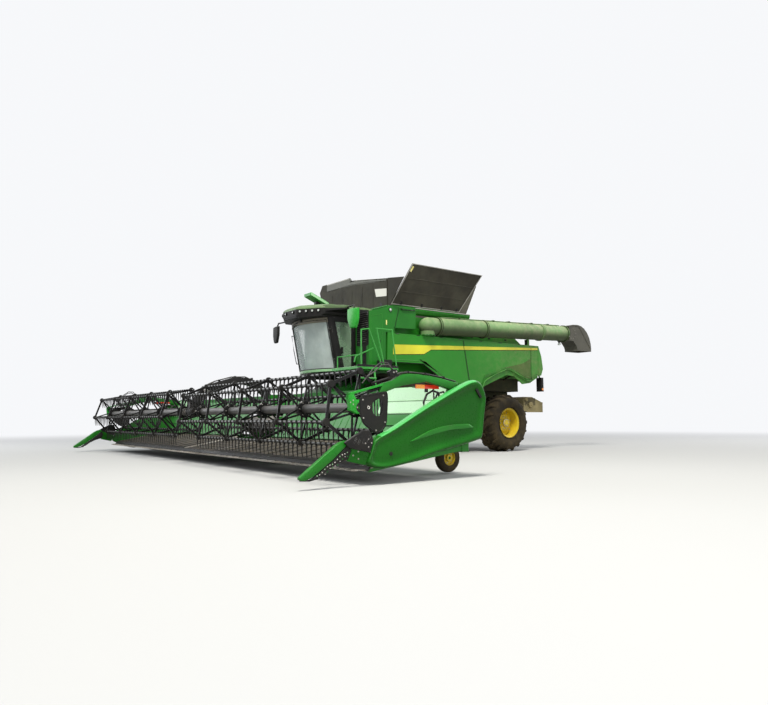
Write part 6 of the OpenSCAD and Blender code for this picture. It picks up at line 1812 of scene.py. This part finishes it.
def screen_mesh():
    """Wires and bars over the cooling screen."""
    s = Build("cooling_screen_mesh")
    top = 3.4155
    x0, x1, y0, y1 = -1.148, -0.702, 3.002, 4.198
    s.box(x0, x1, y0, y1, 3.161, 3.395, "black_moulded")
    for k in range(5):
        x = x0 + 0.02 + k * 0.1
        s.box(x, x + 0.012, y0, y1, 3.395, top + 0.018, "black_paint")
    for k in range(44):
        y = y0 + 0.008 + k * 0.027
        s.box(x0 + 0.004, x1 - 0.004, y, y + 0.006, 3.404, 3.41, "worn_steel")
    for k in range(18):
        x = x0 + 0.012 + k * 0.025
        s.box(x, x + 0.005, y0 + 0.004, y1 - 0.004, 3.41, 3.416, "worn_steel")
    for k in range(20):
        y = 3.04 + 0.06 * k
        if y < 4.16:
            s.prism([(y, 3.415), (y + 0.02, 3.415), (y + 0.014, 3.434), (y + 0.006, 3.434)], "x",
                -1.1545, -0.7005, "black_paint")
    s.done("chassis", ("cooling_screen",))


def gutters():
    g = Build("gutter_fittings", True)
    for y in (-0.2, 0.5, 1.3, 2.0, 2.8, 3.6, 4.4, 5.1):
        g.tube(at_x(1.585, (y, 3.128), (y + 0.12, 3.128)), 0.011, "black_paint", 10)
    g.sweep([(1.44, 2.6, 3.142), (1.44, 5.25, 3.142)], section(0.03, 0.002, 0.003), "black_moulded")
    g.done("chassis", bevel=0.002)


def turntable():
    """Bolted ring under the auger's elbow, its hose and the cradle of the folded tube."""
    t = Build("auger_turntable")
    t.lathe((AUG_X, AUG_Y, 3.14), Z, collar(0.201, 0.214, 0.012), "black_paint", 44, closed=True)
    t.bolts((AUG_X, AUG_Y, 3.152), Z, 0.207, 12, 0.01, 0.006)
    t.tube([(1.36, 1.08, 3.16), (1.3, 1.12, 3.3), (1.2, 1.2, 3.34), (1.22, 1.5, 3.22),
        (1.26, 1.9, 3.16)], 0.016, "hose", 8)
    along = 0.7
    top = AUG_Z + along * AUG_END * math.tan(AUG_TILT) - AUG_RADIUS - 0.003 - 0.02
    middle = AUG_Y + along * AUG_END
    for edge in (-0.043, 0.043):
        t.box(1.5, 1.588, middle + edge - 0.003, middle + edge + 0.003, 3.15, top, "black_paint")
    t.done("chassis", bevel=0.002)


def rear_details():
    b = Build("rear_fittings")
    # Vents, handles and rear grab rail
    for i in range(9):
        z = 2.53 + 0.045 * i
        y = 5.482 + (2.82 - z) / 0.37 * 0.058 + 0.001
        b.box(-0.75, 0.75, y - 0.012, y + 0.01, z, z + 0.024, "green_body")
    for x in (-1.1, 1.1):
        b.box(x - 0.035, x + 0.035, 5.47, 5.5, 2.66, 2.76, "black_moulded")
    b.tube(at_x(-0.35, (5.44, 3.0), (5.56, 2.95), (5.58, 2.3), (5.46, 2.26)), 0.014, "rail_green", 10)
    b.both = True
    # Lamp boxes with red and amber lenses
    x0, x1 = 1.36, 1.56
    b.box(x0 - 0.002, x1 + 0.002, 5.468, 5.5585, 1.758, 2.182, "black_moulded")
    b.box(x0 + 0.012, x1 - 0.012, 5.56, 5.568, 2.02, 2.165, "red")
    b.box(x0 + 0.012, x1 - 0.012, 5.56, 5.568, 1.9, 2.005, "amber")
    b.box(x0 + 0.012, x1 - 0.012, 5.56, 5.566, 1.785, 1.885, "lamp")
    for z0, z1 in ((1.765, 1.783), (1.888, 1.898), (2.008, 2.018), (2.168, 2.178)):
        b.box(x0 + 0.002, x1 - 0.002, 5.558, 5.574, z0, z1, "black_moulded")
    # Side lamp
    b.box(1.5605, 1.566, 5.48, 5.55, 1.8, 1.86, "amber")
    b.done("chassis", bevel=0.003)


def chopper():
    c = Build("chopper_fittings")
    # Grille bars and pulleys on the sides, guide vanes and a bar behind
    for s in (1, -1):
        for i in range(10):
            y = 5.12 + 0.05 * i
            c.box(s * 1.182 - 0.003, s * 1.182 + 0.003, y, y + 0.022, 1.34, 1.57, "black_moulded")
        c.lathe((s * 1.184, 5.35, 1.36), (s, 0, 0), [(0.0, 0), (0.075, 0), (0.09, 0.02), (0.09, 0.05),
            (0.075, 0.07), (0.03, 0.07), (0.03, 0.09), (0, 0.09)], "tan_dusty", 36)
        c.lathe((s * 1.184, 5.14, 1.52), (s, 0, 0), [(0.0, 0), (0.05, 0), (0.06, 0.02), (0.06, 0.05),
            (0.05, 0.07), (0, 0.072)], "tan_dusty", 28)
    for i in range(12):
        x = -1.05 + 0.191 * i
        c.prism([(5.4, 1.475), (5.9, 1.33), (5.9, 1.2), (5.55, 1.26)], "x", x, x + 0.006, "tan_dusty")
    c.sweep([(-1.17, 5.953, 1.28), (1.17, 5.953, 1.28)], [(-0.01, -0.14), (0.006, -0.14), (0.006, 0.14),
        (-0.01, 0.14)], "tan_dusty")
    c.tube([(-1.18, 5.955, 1.425), (1.18, 5.955, 1.425)], 0.014, "worn_steel", 12)
    for x in (-1.0, -0.35, 0.35, 1.0):
        c.box(x - 0.03, x + 0.03, 5.952, 5.966, 1.16, 1.4, "tan_dusty")
    c.done("chassis", bevel=0.002)


def spreaders():
    for s, w in SIDES:
        d = Build("spreader_vanes_" + w)
        x, y = s * 0.52, 5.56
        d.lathe((x, y, 1.18), Z, [(0.0205, 0), (0.332, 0), (0.336, 0.006), (0.33, 0.01), (0.047, 0.01),
            (0.045, 0.079), (0.0205, 0.079)], "worn_steel", 56, closed=True)
        for i in range(6):
            a = math.pi / 3 * i
            u = Vector((math.cos(a), math.sin(a), 0))
            v = Vector((-u.y, u.x, 0))
            rings = []
            for r, bend in ((0.055, 0.0), (0.15, 0.004), (0.24, 0.01), (0.322, 0.022)):
                p = Vector((x, y, 0)) + u * r + v * bend * s
                q = v * 0.0028
                rings.append([(p.x - q.x, p.y - q.y, 1.189), (p.x + q.x, p.y + q.y, 1.189),
                    (p.x + q.x, p.y + q.y, 1.234), (p.x - q.x, p.y - q.y, 1.234)])
            d.loft(rings, "black_paint")
        d.done("spreader_" + w, ("spreader_disc_" + w,))


def axle_details():
    b = Build("axle_fittings")
    # Drive hubs with their hoses, steering cylinder rods and hitch
    b.both = True
    b.lathe((0.66, 0, 1.05), X, [(0.18, 0), (0.232, 0.01), (0.232, 0.05), (0.226, 0.06)], "black_paint", 40)
    b.bolts((0.72, 0, 1.05), X, 0.205, 12, 0.016, 0.014)
    b.tube([(0.2, 0.16, 1.15), (0.5, 0.19, 1.22), (0.9, 0.14, 1.19), (1.0, 0.1, 1.16)], 0.01, "hose", 8)
    b.lathe((0.24, 4.195, 0.82), X, [(0.045, 0), (0.052, 0.004), (0.052, 0.03), (0.045, 0.034)],
        "black_paint", 24)
    b.tube([(0.26, 4.195, 0.82), (0.6, 4.195, 0.82)], 0.022, "chrome_rod", 16)
    b.tube([(0.15, 4.2, 0.868), (0.1, 4.18, 0.93), (0.04, 4.05, 0.95)], 0.009, "hose", 8)
    b.both = False
    b.lathe((0, 4.87, 1.06), Z, collar(0.0205, 0.045, 0.008), "worn_steel", 24, closed=True)
    b.box(-0.088, 0.088, 4.7, 4.74, 1.061, 1.09, "black_paint")
    b.done("chassis", bevel=0.003)


def knuckles():
    for s, w in SIDES:
        k = Build("knuckle_fittings_" + w)
        x, y, z = s * 0.89, 3.96, 0.82
        k.lathe((x, y, z + 0.128), Z, cap(0.036, 0.002, 0.003), "worn_steel", 20)
        k.lathe((s * 1.0, y, z), (s, 0, 0), [(0.085, 0), (0.111, 0.02), (0.111, 0.05), (0.1, 0.06)],
            "black_paint", 32)
        k.lathe((x, y + 0.205, z + 0.0205), Z, cap(0.024, 0.016, 0.018), "worn_steel", 16)
        k.done("knuckle_" + w)


platform_details()
tower_details()
deck_details()
screen_mesh()
gutters()
turntable()
rear_details()
chopper()
spreaders()
axle_details()
knuckles()


make_camera()
make_world()
make_stage()
bpy.context.scene.view_settings.view_transform = "Standard"
